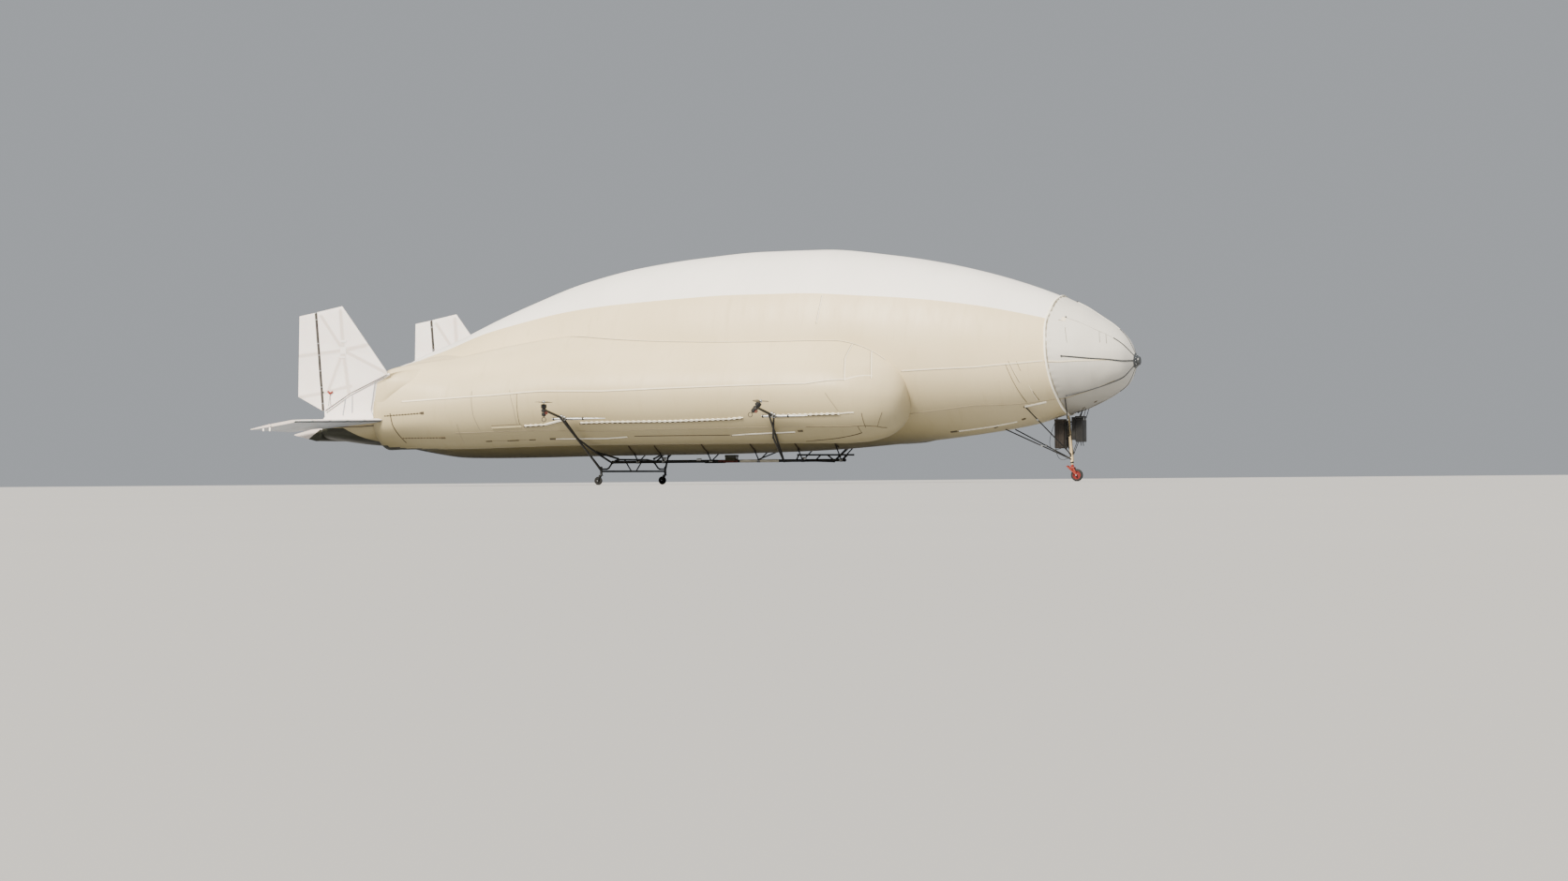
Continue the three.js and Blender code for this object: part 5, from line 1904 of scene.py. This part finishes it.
def case_piece(name, box, finish, hides, lid_ribs):
    """An equipment case: rounded body, lid with a lip, latches and cooling ribs."""
    bm = bmesh.new()
    front, back, half, low_z, high_z = box
    low, high = at(back, -half, low_z), at(front, half, high_z)
    block(bm, low, Vector((high.x, high.y, high.z - 0.050)), 0.016)
    lip = Vector((0.006, 0.006, 0))
    block(bm, Vector((low.x, low.y, high.z - 0.048)) - lip, high + lip, 0.012)
    for i in range(lid_ribs):
        x = stretch_between(low.x + 0.03, high.x - 0.03, i / (lid_ribs - 1))
        for y in (low.y - 0.008, high.y):
            block(bm, (x - 0.007, y, low.z + 0.04), (x + 0.007, y + 0.008, high.z - 0.09), 0.003)
    for share in (0.25, 0.75):
        y = stretch_between(low.y, high.y, share)
        for x in (low.x - 0.012, high.x):
            ends = (x, y - 0.018, high.z - 0.085), (x + 0.012, y + 0.018, high.z - 0.030)
            block(bm, *ends, 0.003, 1)
    finish_piece(bm, name, "hull", [finish, SILVER_TUBE], [hides], sharp=35)


BATTENS = 8
BATTEN_START = 0.045
BATTEN_END = 1.300
# The share of each upper batten that is bare of fabric
BATTEN_BARE = 0.28
CAP_BOLTS = 12
# The mooring cap's outline: (radius, height towards the nose)
CAP_OUTLINE = [
    (0.0, 0.050),
    (0.082, 0.050),
    (0.090, 0.044),
    (0.094, 0.014),
    (0.150, -0.030),
    (0.162, -0.048),
    (0.158, -0.070),
    (0.0, -0.070),
]


def batten_piece():
    """The mooring cap: a dark grey cone with a flat face, a ring of bolts and battens over the nose."""
    bm = bmesh.new()
    lay = Matrix.Translation(at(0, 0, 2.490)) @ Matrix.Rotation(math.radians(90), 4, "Y")
    turned(bm, CAP_OUTLINE, lay, 12)
    for i in range(CAP_BOLTS):
        angle = 2 * math.pi * i / CAP_BOLTS
        knob(bm, lay @ Vector((0.124 * math.cos(angle), 0.124 * math.sin(angle), -0.010)), 0.009, 1)
    for i in range(BATTENS):
        degrees = 360 * i / BATTENS

        def spot(u, v):
            station = stretch_between(BATTEN_START, BATTEN_END, v)
            turn = 2 * math.pi * u
            lean = math.degrees(0.013 * math.cos(turn) / max(0.1, hull_at(station)[2]))
            return hull_point(station, degrees + lean, COVER_RISE + 0.006 + 0.010 * math.sin(turn))

        dark = degrees % 180 != 0 and abs(degrees - 180) <= 90
        made = patch(bm, 8, 48, spot, lambda u, v: 0 if dark or v < BATTEN_BARE else 2)
        bmesh.ops.remove_doubles(bm, verts=made, dist=1e-5)
        knob(bm, hull_point(BATTEN_END, degrees, COVER_RISE + 0.006), 0.022)
    close_ends(bm)
    paints = [GREY_CAP, SILVER_TUBE, NOSE_FABRIC]
    finish_piece(bm, "mooring_cone", "hull", paints, ["mooring_cap"], sharp=30)


FLOOR_HALF = 1500
SKY_STRENGTH = 0.50
# Studio lamps: [name, direction it comes from, softness in degrees, strength, colour]
LAMPS = [
    ["key_lamp", (-0.15, -0.70, 0.70), 16.0, 10.5, "FFF4E2"],
    ["fill_lamp", (0.60, 0.20, 0.80), 60.0, 0.6, "EEF3FF"],
]


def stage_and_light():
    """A plain pale floor and a soft studio: a wide warm key from high on starboard, a weak fill, a sky."""
    material, tree, shader, place = start_material("studio_floor", {"Roughness": 0.9})
    wide = {"Scale": per_metre(FLOOR_MM)}
    shade = add_node(tree, "ShaderNodeTexNoise", wide, {"Vector": place}).outputs["Fac"]
    tones = {6: linear("A6A7A8"), 7: linear("A1A2A3")}
    tone = add_node(tree, "ShaderNodeMix", tones, {0: shade}, data_type="RGBA").outputs[2]
    link_up(tree, shader, {"Base Color": tone})
    bm = bmesh.new()
    bmesh.ops.create_grid(bm, x_segments=1, y_segments=1, size=FLOOR_HALF)
    mesh = bpy.data.meshes.new("studio_floor")
    bm.to_mesh(mesh)
    bm.free()
    mesh.materials.append(material)
    floor = bpy.data.objects.new("studio_floor", mesh)
    bpy.context.scene.collection.objects.link(floor)
    world = bpy.data.worlds.new("studio_sky")
    bpy.context.scene.world = world
    world.use_nodes = True
    back = world.node_tree.nodes["Background"]
    back.inputs["Color"].default_value = linear("E3E8EE")
    back.inputs["Strength"].default_value = SKY_STRENGTH
    for name, toward, angle, power, colour in LAMPS:
        data = bpy.data.lights.new(name, "SUN")
        data.angle = math.radians(angle)
        data.energy = power
        data.color = linear(colour)[:3]
        lamp = bpy.data.objects.new(name, data)
        bpy.context.scene.collection.objects.link(lamp)
        lamp.matrix_world = (-Vector(toward)).to_track_quat("-Z", "Y").to_matrix().to_4x4()


# Equipment cases: [name, box, finish, node that it stands for, lid ribs on each side]
CASES = [
    ["front_case", FRONT_BOX, CHARCOAL_BOX, "equipment_box_front", 5],
    ["rear_case", REAR_BOX, BROWN_BOX, "equipment_box_rear", 4],
    ["olive_case", [8.960, 9.200, 0.090, 0.498, 0.624], OLIVE_BOX, "keel_box", 0],
]

make_camera()
stage_and_light()
hull_skin()
nose_cover_skin()
batten_piece()
for side_name, side in SIDES:
    lobe_skin(side_name, side)
    fin_pieces(side_name, side)
    fin_fittings(side_name, side)
    rudder_spar(side_name, side)
    tip_brackets(side_name, side)
    fin_fairing(side_name, side)
    for part, body, rows, section in (
        ("stabilizer_", "hull", STABILIZER, fixed_section),
        ("elevator_", "elevator_" + side_name, ELEVATOR, moving_section),
    ):
        node = part + side_name
        level_panel(part + "skin_" + side_name, body, rows, side, [node], section, SHADED_UNDER_FILM)
    for end, station, tilt, start, stop in ENGINES:
        engine_frame(end, station, side_name, side)
        rail_piece(end, start, stop, side_name, side)
        head_piece(end, station, tilt, side_name, side)
        propeller_piece(end, station, tilt, side_name, side)
tail_skin()
strips()
centre = "elevator_centre"
# The centre elevator gets painted shade on its underside and round nose
paint_nose_shade(
    level_panel("elevator_skin_centre", centre, CENTRE_ELEVATOR, 1, [centre], moving_section, SHADE_FABRIC)
)
keel_piece()
axle_piece()
for caster in CASTERS:
    caster_piece(caster)
    wheel_piece(caster)
nose_leg()
nose_struts()
box_carriers()
for case in CASES:
    case_piece(*case)
